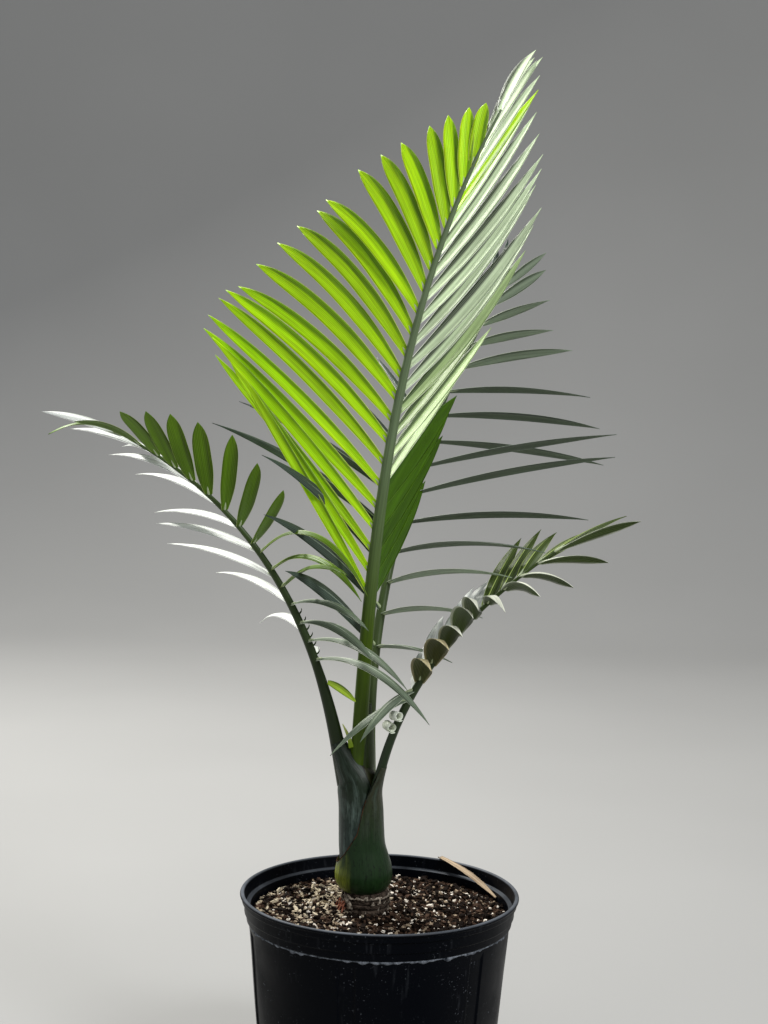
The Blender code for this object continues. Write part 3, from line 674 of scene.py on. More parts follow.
def smooth_stalk(name, low, high, change):
    """Living stalk, midrib or leaflet foot: satin skin with fine lengthwise lines.

    It turns from one colour to another between two heights.
    """
    material, tree, shader = new_finish(name, 0.40, 1.45, Specular_IOR_Level=0.30)
    lines = grained(tree, 0.0012, 0.060)
    place = add_node(tree, "ShaderNodeTexCoord", output="Object")
    height = add_node(tree, "ShaderNodeSeparateXYZ", {0: place}, output=2)
    rise = add_node(tree, "ShaderNodeMapRange", {0: height, 1: change[0], 2: change[1]})
    base = add_node(
        tree, "ShaderNodeMix", {0: rise, 6: (*low, 1.0), 7: (*high, 1.0)}, data_type="RGBA", output=2
    )
    shade = add_node(tree, "ShaderNodeMapRange", {0: lines, 1: 0.3, 2: 0.7, 3: 0.78, 4: 1.22})
    colour = add_node(tree, "ShaderNodeVectorMath", {0: base, "Scale": shade}, operation="SCALE")
    tree.links.new(colour, shader.inputs["Base Color"])
    bump = add_node(tree, "ShaderNodeBump", {"Height": lines, "Distance": 0.0003, "Strength": 0.5})
    tree.links.new(bump, shader.inputs["Normal"])
    return material


def living_leaf(name, upper, under, vein, through, shaded_half, edge):
    """A palm leaflet: satin cuticle, parallel veins about a millimetre apart, no two leaflets quite alike.

    One half is painted a darker green from a little past the midrib on: painted shade of the fold and of the
    leaflet beside it.
    """
    material, tree, shader = new_finish(
        name,
        0.45,
        1.42,
        Subsurface_Weight=through,
        Subsurface_Radius=(0.9, 1.0, 0.15),
        Subsurface_Scale=0.0012,
        Specular_IOR_Level=0.25,
    )
    grain = add_node(tree, "ShaderNodeAttribute", attribute_name="grain", output="Vector")
    below = add_node(tree, "ShaderNodeAttribute", attribute_name="underside", output="Fac")
    sided = add_node(
        tree, "ShaderNodeMix", {0: below, 6: (*upper, 1.0), 7: (*under, 1.0)}, data_type="RGBA", output=2
    )
    split = add_node(tree, "ShaderNodeSeparateXYZ", {0: grain}).node.outputs
    turns = add_node(
        tree, "ShaderNodeMath", {0: split[0], 1: math.tau / VEIN_SPACING}, operation="MULTIPLY"
    )
    veins = add_node(tree, "ShaderNodeMath", {0: turns}, operation="SINE")
    drawn = add_node(tree, "ShaderNodeMapping", {"Vector": grain, "Scale": (1.0, 0.04, 3.0)})
    streak = add_node(tree, "ShaderNodeTexNoise", {"Vector": drawn, "Scale": 380.0, "Detail": 3.0})
    uneven = add_node(tree, "ShaderNodeMapRange", {0: streak, 1: 0.3, 2: 0.7, 3: 0.74, 4: 1.18})
    alike = add_node(tree, "ShaderNodeMapRange", {0: split[2], 1: 0.0, 2: 1.0, 3: 0.80, 4: 1.18})
    light = add_node(tree, "ShaderNodeMath", {0: uneven, 1: alike}, operation="MULTIPLY")
    wander = add_node(tree, "ShaderNodeMath", {0: streak, 1: 0.003, 2: split[0]}, operation="MULTIPLY_ADD")
    # Painted shade: past an offset from the midrib the blade takes the shaded colour.
    painted_shade_share = add_node(
        tree, "ShaderNodeMapRange", {0: wander, 1: edge + 0.0015, 2: 2.6 * edge + 0.0015, 3: 0.0, 4: 0.9}
    )
    half_in_painted_shade = add_node(
        tree, "ShaderNodeMix", {0: painted_shade_share, 6: sided, 7: (*shaded_half, 1.0)}, data_type="RGBA", output=2
    )
    base = add_node(tree, "ShaderNodeVectorMath", {0: half_in_painted_shade, "Scale": light}, operation="SCALE")
    lined = add_node(tree, "ShaderNodeMapRange", {0: veins, 1: 0.55, 2: 1.0, 3: 0.0, 4: 0.16})
    mixed = add_node(tree, "ShaderNodeMix", {0: lined, 6: base, 7: (*vein, 1.0)}, data_type="RGBA", output=2)
    tree.links.new(mixed, shader.inputs["Base Color"])
    bump = add_node(tree, "ShaderNodeBump", {"Height": veins, "Distance": 0.0003, "Strength": 0.35})
    tree.links.new(bump, shader.inputs["Normal"])
    return material


def matt_plaster(name, colour):
    """Painted plaster, for the floor and backdrop: even and matt with the faintest mottling."""
    material, tree, shader = new_finish(name, 0.95, 1.45)
    place = add_node(tree, "ShaderNodeTexCoord", output="Object")
    mottle = add_node(tree, "ShaderNodeTexNoise", {"Vector": place, "Scale": 1.3, "Detail": 2.0})
    shade = add_node(tree, "ShaderNodeMapRange", {0: mottle, 1: 0.3, 2: 0.7, 3: 0.97, 4: 1.03})
    mixed = add_node(tree, "ShaderNodeVectorMath", {0: tuple(colour), "Scale": shade}, operation="SCALE")
    tree.links.new(mixed, shader.inputs["Base Color"])
    return material


# Pot


def body_radius(height):
    """The pot's tapering outer wall below its shoulder."""
    return BASE_RADIUS + (SHOULDER_RADIUS - BASE_RADIUS) * height / SHOULDER_Z


def pot_profile():
    """Radius and height from the underside up the stepped outside, over the lip and down the inside."""
    outside = [(0.002, 0.0), (BASE_RADIUS - 0.003, 0.0), (body_radius(0.004), 0.004)]
    outside += [(body_radius(z), z) for z in np.linspace(0.012, SHOULDER_Z - 0.004, 26)]
    bands = [
        (SHOULDER_RADIUS, SHOULDER_Z),
        (RIM_RADIUS - 0.0068, SHOULDER_Z + 0.0012),
        (RIM_RADIUS - 0.0064, POT_HEIGHT - 0.0207),
        (RIM_RADIUS - 0.0046, POT_HEIGHT - 0.0195),
        (RIM_RADIUS - 0.0042, POT_HEIGHT - 0.0098),
        (RIM_RADIUS - 0.0020, POT_HEIGHT - 0.0085),
        (RIM_RADIUS - 0.0016, POT_HEIGHT - 0.0038),
        (RIM_RADIUS, POT_HEIGHT - 0.0028),
    ]
    lip = [
        (RIM_RADIUS, POT_HEIGHT - 0.0012),
        (RIM_RADIUS - 0.0012, POT_HEIGHT),
        (RIM_RADIUS - 0.0034, POT_HEIGHT),
    ]
    inside = [
        (RIM_RADIUS - 0.0045, POT_HEIGHT - 0.0012),
        (RIM_RADIUS - 0.0062, LEDGE_Z + 0.001),
        (body_radius(LEDGE_Z) - WALL, LEDGE_Z),
        (body_radius(FLOOR) - WALL, FLOOR),
        (0.002, FLOOR),
    ]
    return rounded(outside + bands + lip + inside, cut=0.0007)


def pot_angles():
    """Even steps round the pot, with more of them at the sides of each flute."""
    even = np.linspace(-math.pi, math.pi, 240, endpoint=False)
    edge = np.linspace(-0.02, 0.02, 9)
    sides = np.array((-FLUTE_HALF_TURN, FLUTE_HALF_TURN))[:, None]
    extra = (FLUTE_TURNS[:, None, None] + sides + edge).ravel()
    return np.unique(np.round((np.concatenate([even, extra]) + math.pi) % math.tau, 6))


def pot_rings():
    """The profile turned round the Z axis, sunk by the flutes.

    A flute's depth is the product of two eased steps: one across its width, one at each of its ends.
    """
    profile = pot_profile()
    turn = pot_angles()
    radius, height = profile[:, 0][:, None], profile[:, 1][:, None]
    off = np.abs((turn[None] - FLUTE_TURNS[:, None] + math.pi) % math.tau - math.pi).min(axis=0)
    across = eased((FLUTE_HALF_TURN + 0.008 - off) / 0.016)
    upright = eased((height - FLUTE_FOOT) / 0.003) * eased((SHOULDER_Z - 0.006 - height) / 0.003)
    outer = radius > body_radius(height) - WALL / 2
    sunk = radius - FLUTE_DEPTH * across * upright * outer
    ring = np.stack([sunk * np.cos(turn), sunk * np.sin(turn), height + 0.0 * turn], axis=-1)
    wavy = outer * eased((height - 0.01) / 0.03) * (radius < RIM_RADIUS - 0.008)
    wave = ripple(ring, 0.09, 4) * 0.0004 * wavy
    return ring + wave[..., None] * spokes(turn)


def cut_drain_holes(pot):
    """Bores the drain holes between the flutes and keeps the result as the pot's own mesh."""
    cutters = bpy.data.collections.new("drain_cutters")
    bpy.context.scene.collection.children.link(cutters)
    for index in range(FLUTES):
        angle = FIRST_FLUTE + (index + 0.5) * math.tau / FLUTES
        out = np.array((math.cos(angle), math.sin(angle), 0.0))
        centres = (body_radius(DRAIN_Z) + np.array((-0.008, 0.008)))[:, None] * out + DRAIN_Z * UP
        rods = round_rods(centres[None], np.full((1, 2), DRAIN_RADIUS), sides=28)
        cutters.objects.link(bpy.data.objects.new(f"drain_{index + 1}", tubes("drain", rods)))
    boolean = pot.modifiers.new("Drain holes", "BOOLEAN")
    boolean.operation = "DIFFERENCE"
    boolean.operand_type = "COLLECTION"
    boolean.collection = cutters
    boolean.solver = "EXACT"
    evaluated = pot.evaluated_get(bpy.context.evaluated_depsgraph_get())
    mesh = bpy.data.meshes.new_from_object(evaluated)
    pot.modifiers.clear()
    pot.data = mesh
    for cutter in list(cutters.objects):
        bpy.data.objects.remove(cutter)
    bpy.data.collections.remove(cutters)


def flashing_rings():
    """The thin ragged fin of plastic at the mould's joint under the bands: its reach varies round the pot."""
    turn = np.linspace(0.0, math.tau, 900, endpoint=False)
    way = spokes(turn)
    rag = np.clip(ripple(way * 0.13, 0.011, 8) + 0.7 * ripple(way * 0.13, 0.035, 9), -1.0, 1.0)
    low = SHOULDER_Z - 0.0012 - 0.0028 * np.maximum(rag, 0.0)
    ring = []
    heights = (SHOULDER_Z + 0.0004, SHOULDER_Z - 0.0004, low, low)
    for offset, height in zip((0.0006, 0.0011, 0.0006, -0.0006), heights):
        level = np.broadcast_to(height, turn.shape)
        reach = body_radius(np.minimum(level, SHOULDER_Z)) + offset
        ring.append(way * reach[:, None] + UP * level[:, None])
    return np.stack(ring, axis=1)


def closed_loop(name, rings):
    """A mesh of one ring-shaped tube: the last ring joins the first."""
    count, sides = rings.shape[:2]
    i, j = np.meshgrid(np.arange(count), np.arange(sides), indexing="ij")
    k, n = (j + 1) % sides, (i + 1) % count
    faces = np.stack([i * sides + j, i * sides + k, n * sides + k, n * sides + j], -1).reshape(-1, 4)
    points = rings.reshape(-1, 3)
    if enclosed(points, faces) < 0.0:
        faces = faces[:, ::-1]
    return make_mesh(name, points, faces.tolist())


class PALM_OT_pot(bpy.types.Operator):
    """Turns the pot from its profile, with flutes, drain holes and mould flashing"""

    bl_idname = "palm.pot"
    bl_label = "Nursery pot"

    def execute(self, context):
        settings = context.scene.palm_pot
        plastic = black_polyethylene(settings)
        pot = dress("pot_shell", tubes("pot_shell", pot_rings()[None]), plastic, "pot_plastic", "pot")
        cut_drain_holes(pot)
        scuffed = dry_fibres("rubbed_polyethylene", linear("#1c2128"), settings.dust_and_highlight, 0.006)
        dress("pot_flashing", closed_loop("pot_flashing", flashing_rings()), scuffed, "pot_plastic")
        return {"FINISHED"}


# Potting mix


def mix_surface(x, y):
    """Height of the mix: flat under the stem, falling a little to the wall, with lumps and pits."""
    radius = np.hypot(x, y)
    edge = body_radius(SOIL_EDGE_Z) - WALL
    slope = (SOIL_Z - SOIL_EDGE_Z) * eased((radius - SOIL_FLAT) / (edge - SOIL_FLAT))
    flat = np.stack([x, y, 0.0 * x], axis=-1)
    lumps = 0.0011 * ripple(flat, 0.021, 21) + 0.0006 * ripple(flat, 0.008, 22, 14)
    return SOIL_Z - slope + lumps * eased((edge - radius) / 0.004 + 0.3)


def mix_rings():
    """The mix's top as rings from the middle outwards, then its side and its flat underside."""
    edge = body_radius(SOIL_EDGE_Z) - WALL - 0.0003
    turn = np.linspace(0.0, math.tau, 200, endpoint=False)
    radius = np.linspace(0.001, edge, 90)[:, None]
    x, y = radius * np.cos(turn), radius * np.sin(turn)
    top = np.stack([x, y, mix_surface(x, y)], axis=-1)
    low = body_radius(FLOOR) - WALL - 0.0006
    sides = [(low, FLOOR + 0.0003), (0.002, FLOOR + 0.0003)]
    under = [np.stack([r * np.cos(turn), r * np.sin(turn), z + 0.0 * turn], axis=-1) for r, z in sides]
    return np.concatenate([top, np.array(under)])


def chip_rings(count, longest, slimness, seed, spot):
    """Loose chips: a low five-sided prism each, its corners moved at random, laid nearly flat on the mix.

    A spot, X, Y and spread, gathers them round one place. Without it they lie evenly all over.
    """
    rng = np.random.default_rng(seed)
    radius = np.sqrt(rng.uniform(0.004**2, (body_radius(SOIL_EDGE_Z) - WALL - 0.003) ** 2, count))
    turn = rng.uniform(0.0, math.tau, count)
    x, y = radius * np.cos(turn), radius * np.sin(turn)
    if spot is not None:
        x = spot[0] + spot[2] * rng.normal(size=count)
        y = spot[1] + spot[2] * rng.normal(size=count)
        shrink = np.minimum(1.0, (body_radius(SOIL_EDGE_Z) - WALL - 0.006) / np.hypot(x, y))
        x, y = x * shrink, y * shrink
    length = longest * rng.uniform(0.35, 1.0, count) ** 2.0
    wide = length / 2 * rng.uniform(*slimness, count)
    thick = length * rng.uniform(0.10, 0.20, count)
    half = np.stack([length / 2, wide, thick], -1)
    corner = np.linspace(0.0, math.tau, 5, endpoint=False) + rng.uniform(-0.35, 0.35, (count, 2, 5))
    ends = np.broadcast_to(np.array((-1.0, 1.0))[:, None], corner.shape)
    local = np.stack([np.cos(corner), np.sin(corner), ends], -1)
    local *= rng.uniform(0.75, 1.1, (count, 2, 5, 1))
    local *= half[:, None, None]
    yaw, tip, roll = rng.uniform(0, math.tau, count), rng.normal(0, 0.30, count), rng.normal(0, 0.35, count)
    ahead = np.stack([np.cos(yaw) * np.cos(tip), np.sin(yaw) * np.cos(tip), np.sin(tip)], -1)
    side = unit(np.cross(UP, ahead))
    over = np.cross(ahead, side)
    side, over = (
        side * np.cos(roll)[:, None] + over * np.sin(roll)[:, None],
        over * np.cos(roll)[:, None] - side * np.sin(roll)[:, None],
    )
    axes = np.stack([ahead, side, over], axis=1)
    middle = np.stack([x, y, mix_surface(x, y) + half[:, 2] * 0.9 + rng.uniform(0.0, 0.0012, count)], -1)
    return middle[:, None, None] + np.einsum("nijk,nkl->nijl", local, axes)


class PALM_OT_mix(bpy.types.Operator):
    """Fills the pot with bark mix and strews chips of several colours over it"""

    bl_idname = "palm.mix"
    bl_label = "Potting mix"

    def execute(self, context):
        settings = context.scene.palm_pot
        bark = dry_fibres("moist_bark_fines", settings.bark, linear("#3b2a1e"), 0.0035)
        dress("mix_bed", tubes("mix_bed", mix_rings()[None]), bark, "bark_mix", "potting_mix")
        kinds = (
            ("dark", 0.40, 0.0090, (0.4, 0.9), ("#0a0503", "#201610"), None),
            ("brown", 0.26, 0.0076, (0.4, 0.9), ("#33231a", "#564336"), None),
            ("tan", 0.15, 0.0064, (0.35, 0.8), ("#7d6c58", "#ac9b85"), None),
            ("cream", 0.13, 0.0064, (0.35, 0.8), ("#ddd2c0", "#fff8ec"), None),
            ("husk", 0.07, 0.0085, (0.28, 0.6), ("#9c8d74", "#d3c6ae"), (-0.060, 0.005, 0.036)),
            ("splinter", 0.03, 0.0115, (0.22, 0.42), ("#b3a58d", "#ded2b8"), (-0.065, 0.035, 0.030)),
        )
        for index, (kind, share, longest, slimness, colours, spot) in enumerate(kinds):
            rings = chip_rings(int(settings.chips * share), longest, slimness, 30 + index, spot)
            finish = dry_fibres(f"bark_chips_{kind}", linear(colours[0]), linear(colours[1]), 0.0022)
            dress(f"chips_{kind}", tubes(f"chips_{kind}", rings, smooth=False), finish, "bark_mix")
        return {"FINISHED"}


# Foot of the stem


def stub_rings():
    """The ringed stub: a rod whose radius steps in under each old leaf scar, roughened all over."""
    turn = np.linspace(0.0, math.tau, 96, endpoint=False)
    share = np.linspace(0.0, 1.0, 46)[:, None]
    shares, radii = np.array(STUB_STEPS).T
    radius = np.interp(share, shares, radii) + 0.0 * turn
    height = SOIL_Z - 0.002 + share * (STUB_TOP - SOIL_Z + 0.002) + 0.0 * turn
    point = np.stack([STUB_X + radius * np.cos(turn), radius * np.sin(turn), height], axis=-1)
    rough = 0.0006 * ripple(point, 0.006, 41) + 0.0004 * ripple(point * (1, 1, 4.0), 0.004, 42)
    out = spokes(turn)
    return point + (rough - 0.0006)[..., None] * out


def collar_rings(level, tall, lean, seed):
    """A torn papery collar round the stub: its ragged upper edge leans out, further where it is taller."""
    turn = np.linspace(0.0, math.tau, 420, endpoint=False)
    way = spokes(turn)
    rag = 0.5 + 0.32 * ripple(way * 0.024, 0.010, seed) + 0.30 * ripple(way * 0.024, 0.003, seed + 1, 14)
    rag = np.clip(rag, 0.04, 1.0)
    ring = []
    for rise, depth in ((0.0, 0.0), (0.5, 0.0), (1.0, 0.0), (1.0, -0.0004), (0.5, -0.0006), (0.0, -0.0012)):
        reach = COLLAR_RADIUS + depth + lean * rag * rise**2
        height = level + tall * rag * rise
        ring.append(way * reach[:, None] + UP * height[:, None] + np.array((STUB_X, 0.0, 0.0)))
    return np.stack(ring, axis=1)


def fray_rings(count, seed, middle=math.pi, spread=math.pi, size=1.0):
    """Frayed ends of old leaf bases: thin strips that rise from the scars and lean outwards at their tips."""
    rng = np.random.default_rng(seed)
    turn = rng.uniform(middle - spread, middle + spread, count)
    foot = rng.choice(LEAF_SCARS, count) + rng.normal(0.0, 0.0005, count)
    tall = size * rng.uniform(0.002, 0.006, count)
    wide = size * rng.uniform(0.0015, 0.0045, count)
    lean = size * rng.uniform(0.0004, 0.0026, count)
    t = np.linspace(0.0, 1.0, 6)
    radius = FRAY_RADIUS + lean[:, None] * t**2
    height = np.minimum(foot[:, None] + tall[:, None] * t, STUB_TOP + 0.0010)
    half = wide[:, None] / 2 * (1.0 - 0.75 * t**2)
    rings = []
    for across, depth in ((-1.0, 0.0), (0.0, 0.00025), (1.0, 0.0), (0.0, -0.00025)):
        angle = turn[:, None] + across * half / radius
        reach = radius + depth
        rings.append(np.stack([STUB_X + reach * np.cos(angle), reach * np.sin(angle), height], axis=-1))
    return np.stack(rings, axis=2)


def rootlet_rings(count, seed):
    """Short reddish root tips at the stub's left side, bending down into the mix."""
    rng = np.random.default_rng(seed)
    turn = rng.uniform(math.radians(165), math.radians(215), count)
    t = np.linspace(0.0, 1.0, 7)
    out = spokes(turn)
    start = np.array((STUB_X, 0.0, 0.0)) + out * ROOT_RADIUS
    start[:, 2] = rng.uniform(0.2245, 0.2335, count)
    reach = rng.uniform(0.003, 0.008, count)
    path = start[:, None] + out[:, None] * (reach[:, None] * t)[..., None]
    drop = (start[:, 2:3] - SOIL_Z) * t**2
    sway = rng.normal(0.0, 0.0012, (count, 1)) * t
    path = path + np.stack([sway, -sway, -drop], axis=-1)
    return round_rods(path, np.interp(t, (0, 1), (0.0009, 0.0005)) + np.zeros((count, 1)), sides=6)


class PALM_OT_stem_foot(bpy.types.Operator):
    """Makes the ringed foot of the stem, its frayed fibres and its root tips"""

    bl_idname = "palm.stem_foot"
    bl_label = "Stem foot"

    def execute(self, context):
        settings = context.scene.palm_stem
        fibre = dry_fibres("dry_leaf_base_fibre", linear("#120c08"), settings.fibre, 0.0035)
        pale = dry_fibres("frayed_fibre", settings.fibre, linear("#d0c5b3"), 0.003)
        red = dry_fibres("root_skin", linear("#74402f"), linear("#a8745e"), 0.003)
        dress("stub", tubes("stub", stub_rings()[None]), fibre, "stem_fibre", "stem_foot")
        finishes = (fibre, fibre, fibre, pale)
        for index, (level, tall, lean) in enumerate(COLLARS):
            name = f"stub_collar_{index + 1}"
            collar = closed_loop(name, collar_rings(level, tall, lean, 60 + 3 * index))
            dress(name, collar, finishes[index], "stem_fibre")
        dress("stub_fray", tubes("stub_fray", fray_rings(60, 43)), pale, "stem_fibre")
        flaps = fray_rings(7, 46, middle=math.radians(212), spread=0.35, size=2.0)
        dress("stub_flaps", tubes("stub_flaps", flaps), pale, "stem_fibre")
        dress("root_tips", tubes("root_tips", rootlet_rings(16, 44)), red, "stem_fibre")
        return {"FINISHED"}


# Sheaths


def sheath_frame(table, places):
    """Centres, radii and the two directions across a sheath at places from 0 to 1 along it."""
    low, high = table[0][0], table[-1][0]
    heights = low + (high - low) * places
    rows = smooth_rows(table, heights)
    centres = np.stack([rows[..., 0], rows[..., 1], heights], axis=-1)
    step = 0.004
    ahead = smooth_rows(table, np.minimum(heights + step, high))
    behind = smooth_rows(table, np.maximum(heights - step, low))
    rise = np.minimum(heights + step, high) - np.maximum(heights - step, low)
    way = unit(np.stack([ahead[..., 0] - behind[..., 0], ahead[..., 1] - behind[..., 1], rise], axis=-1))
    across = unit(np.cross((0.0, 1.0, 0.0), way))
    return centres, rows[..., 2], across, np.cross(way, across)


def sheath_point(table, places, turn, narrow=1.0, inset=0.0):
    """A sheath's surface: a circle round its own path, squeezed across by narrow.

    Its radius is that of the rings, less an inset.
    """
    centres, radii, across, forward = sheath_frame(table, places)
    radii = (radii - inset)[..., None]
    return centres + radii * (narrow * np.cos(turn)[..., None] * across + np.sin(turn)[..., None] * forward)


def sheath_grain(places, turn, length):
    """Where a point lies round and along a sheath, in metres."""
    return np.stack([0.02 * np.cos(turn), 0.02 * np.sin(turn), places * length], axis=-1)


def margin_place(turn):
    """How far up the outer sheath its open margin lies, for each angle round it.

    It is the first place whose X is left of the margin's line; 1 where the sheath runs on into its stalk.
    """
    places = np.linspace(0.0, 1.0, 400)
    grid, angles = np.meshgrid(places, turn, indexing="ij")
    points = sheath_point(OUTER_SHEATH, grid, angles)
    line = np.array(SHEATH_MARGIN)
    cut = points[..., 0] < np.interp(points[..., 2], line[:, 1], line[:, 0], left=-1.0, right=-1.0)
    return np.where(cut.any(axis=0), places[cut.argmax(axis=0)], 1.0)


def outer_sheath_rings():
    """The outer sheath: up its outside to the margin, over a rounded lip and down inside to its foot."""
    turn = np.linspace(0.0, math.tau, 180, endpoint=False)
    top = margin_place(turn)
    share = np.linspace(0.0, 1.0, 90)[:, None]
    places = share * top
    angles = turn + 0.0 * share
    outside = sheath_point(OUTER_SHEATH, places, angles)
    down = np.array((0.995, 0.97, 0.9, 0.75, 0.5))[:, None] * top
    depth = np.array((0.0006, 0.0010, 0.0016, 0.0022, 0.0028))[:, None] + 0.0 * turn
    inside = sheath_point(OUTER_SHEATH, down, turn + 0.0 * down, inset=depth)
    rings = np.concatenate([outside, inside])
    up_and_down = np.concatenate([places, down])
    grain = sheath_grain(up_and_down, turn + 0.0 * up_and_down, OUTER_LENGTH)
    return rings[None], grain[None]


def plain_sheath_rings(table, narrow=1.0):
    """A closed sheath between its first and last ring."""
    turn = np.linspace(0.0, math.tau, 120, endpoint=False)
    places, angles = np.meshgrid(np.linspace(0.0, 1.0, 80), turn, indexing="ij")
    rings = sheath_point(table, places, angles, narrow)
    return rings[None], sheath_grain(places, angles, table[-1][0] - table[0][0])[None]


def margin_rod():
    """The dry reddish edge of the outer sheath: a thin rod along the margin."""
    turn = np.linspace(0.0, math.tau, 720, endpoint=False)
    top = margin_place(turn)
    open_part = top < OPEN_BELOW
    path = sheath_point(OUTER_SHEATH, top[open_part], turn[open_part])
    for _ in range(6):
        path[1:-1] = (path[:-2] + 2 * path[1:-1] + path[2:]) / 4
    path = path[::4]
    return round_rods(path[None], np.full((1, len(path)), 0.00042), sides=6)


def ligule_rings():
    """The thin upright edge that the left sheath keeps beside its stalk: a blade that narrows upwards."""
    share = np.linspace(0.0, 1.0, 24)[:, None]
    low, high = np.array((-0.0312, -0.0100, 0.3880)), np.array((-0.0404, -0.0070, 0.4110))
    path = low + (high - low) * share + np.array((0.0012, 0.0, 0.0)) * np.sin(math.pi * share)
    turn = np.linspace(0.0, math.tau, 12, endpoint=False)
    half = 0.0022 * (1.0 - share) ** 0.7 + 0.0003
    thin = 0.12 * half + 0.0002
    ring = np.stack([half * np.cos(turn), thin * np.sin(turn), 0.3 * half * np.cos(turn)], axis=-1)
    grain = np.stack(np.broadcast_arrays(half * np.cos(turn), 0.0 * turn, 0.03 * share), axis=-1)
    return (path[:, None] + ring)[None], grain[None]


class PALM_OT_sheaths(bpy.types.Operator):
    """Wraps the three leaf bases of the stem round each other"""

    bl_idname = "palm.sheaths"
    bl_label = "Leaf sheaths"

    def execute(self, context):
        settings = context.scene.palm_stem
        bulb = waxy_leaf_base("waxy_bulb", settings.sheath, linear("#303221"), settings.bloom,
                              (0.322, 0.375, 0.06, 0.75), flank=settings.flank)
        waxy = waxy_leaf_base("waxy_leaf_base", linear("#2a3832"), linear("#1a2618"), linear("#5d6d66"),
                              (0.345, 0.395, 0.90, 0.20), inner=linear("#2b2e14"))
        inner = waxy_leaf_base("inner_leaf_base", linear("#232a12"), linear("#2a3814"), linear("#36402c"),
                               (0.300, 0.340, 0.30, 0.50))
        rust = dry_fibres("dry_sheath_margin", linear("#150d08"), linear("#5e3a24"), 0.008)
        bases = (
            ("outer_leaf_base", outer_sheath_rings(), bulb, "outer_sheath"),
            ("left_leaf_base", plain_sheath_rings(LEFT_SHEATH), waxy, "left_sheath"),
            ("upright_leaf_base", plain_sheath_rings(SPEAR_BASE, SPEAR_NARROW), inner, "spear_base"),
        )
        for name, rings_and_grain, finish, node in bases:
            dress(name, tubes(name, *rings_and_grain), finish, "palm_sheath", node)
        pale = smooth_stalk("young_sheath_edge", linear("#7f9a1c"), linear("#c6cf7a"), (0.392, 0.408))
        dress("ligule", tubes("ligule", *ligule_rings()), pale, "palm_sheath")
        dress("sheath_margin", tubes("sheath_margin", margin_rod()), rust, "palm_sheath")
        return {"FINISHED"}


# Stalks and fronds


def stalk_radius(frond, places):
    """The stalk tapers evenly to the blade's foot, and on from there to the tip."""
    return np.interp(places, (0.0, frond.blade_from, 1.0), frond.radii)


def stalk_rings(frond):
    """A stalk and its rachis: a tapering rod, grooved on the side where the leaflets open.

    It starts inside its sheath, straight below its foot and a little thicker.
    """
    places = np.concatenate([np.zeros(12), np.linspace(0.0, 1.0, 150)])
    sunk = np.concatenate([np.linspace(STALK_ROOT, 0.003, 12), np.zeros(150)])
    points, headings = along_spine(frond, places)
    points = points - headings * sunk[:, None]
    face = np.array(frond.upper_face[0])
    upward = unit(face - (headings @ face)[:, None] * headings)
    side = np.cross(headings, upward)
    turn = np.linspace(0.0, math.tau, 28, endpoint=False)
    groove = 1.0 - 0.16 * np.exp(-((turn - math.pi / 2) / 0.40) ** 2)
    radius = (stalk_radius(frond, places) + 0.04 * sunk)[:, None] * groove
    rings = points[:, None] + radius[..., None] * (
        np.cos(turn)[:, None] * side[:, None] + np.sin(turn)[:, None] * upward[:, None]
    )
    run = np.concatenate([[0.0], np.cumsum(np.linalg.norm(np.diff(points, axis=0), axis=1))])
    grain = np.stack(np.broadcast_arrays(0.006 * np.cos(turn), 0.006 * np.sin(turn), run[:, None]), axis=-1)
    return rings[None], grain[None]


def evenly(values, share):
    """A value for each share, from a tuple that runs evenly from 0 to 1."""
    return np.interp(share, np.linspace(0.0, 1.0, len(values)), values)[:, None]


def leaflet_lines(frond, row, rng):
    """Midribs of a row's leaflets, the blade's two cross directions along each, and their lengths.

    A midrib leaves the rachis at its spread and lift, and its own weight turns it down evenly. Its blade
    lies across the way it runs and the row's facing, turned a little so that the leaflets shingle.
    """
    roots = np.minimum(np.linspace(row.first, row.last, row.count), 0.995)
    share = (roots - row.first) / (row.last - row.first)
    points, headings = along_spine(frond, roots)
    blade_share = np.maximum(0.0, (roots - frond.blade_from) / (1.0 - frond.blade_from))[:, None]
    face = np.array(frond.upper_face[0]) * (1 - blade_share) + np.array(frond.upper_face[1]) * blade_share
    upward = unit(face - (face * headings).sum(axis=1, keepdims=True) * headings)
    sideways = np.cross(headings, upward) * row.side
    spread = np.radians(evenly(row.spread, share) + rng.normal(0.0, row.uneven, (row.count, 1)))
    lift = np.radians(evenly(row.lift, share) + rng.normal(0.0, row.uneven, (row.count, 1)))
    outward = sideways * np.cos(lift) + upward * np.sin(lift)
    first_way = headings * np.cos(spread) + outward * np.sin(spread)
    steps = (np.arange(LEAF_STEPS) + 0.5) / LEAF_STEPS
    ways = unit(first_way[:, None] - (evenly(row.sag, share) * steps)[..., None] * UP)
    reach = evenly(row.reach, share)
    runs = np.concatenate([np.zeros((row.count, 1, 3)), np.cumsum(ways, axis=1)], axis=1)
    line = points[:, None] + runs * (reach / LEAF_STEPS)[..., None]
    ways = unit(np.gradient(line, axis=1))
    edge = unit(np.cross(ways[:, 0], np.array(row.facing)))
    over = np.cross(edge, ways[:, 0])
    edge = edge * math.cos(SHINGLE) + over * math.sin(SHINGLE) * row.side
    edge = unit(edge[:, None] - (edge[:, None] * ways).sum(axis=-1, keepdims=True) * ways)
    over = np.cross(edge, ways)
    along = np.linspace(0.0, 1.0, LEAF_STEPS + 1)
    twist = np.radians(row.twist + rng.normal(0.0, 4.0 + row.uneven, (row.count, 1))) * along**1.5
    cosine, sine = np.cos(twist)[..., None], np.sin(twist)[..., None]
    return line, edge * cosine + over * sine, over * cosine - edge * sine, reach, share


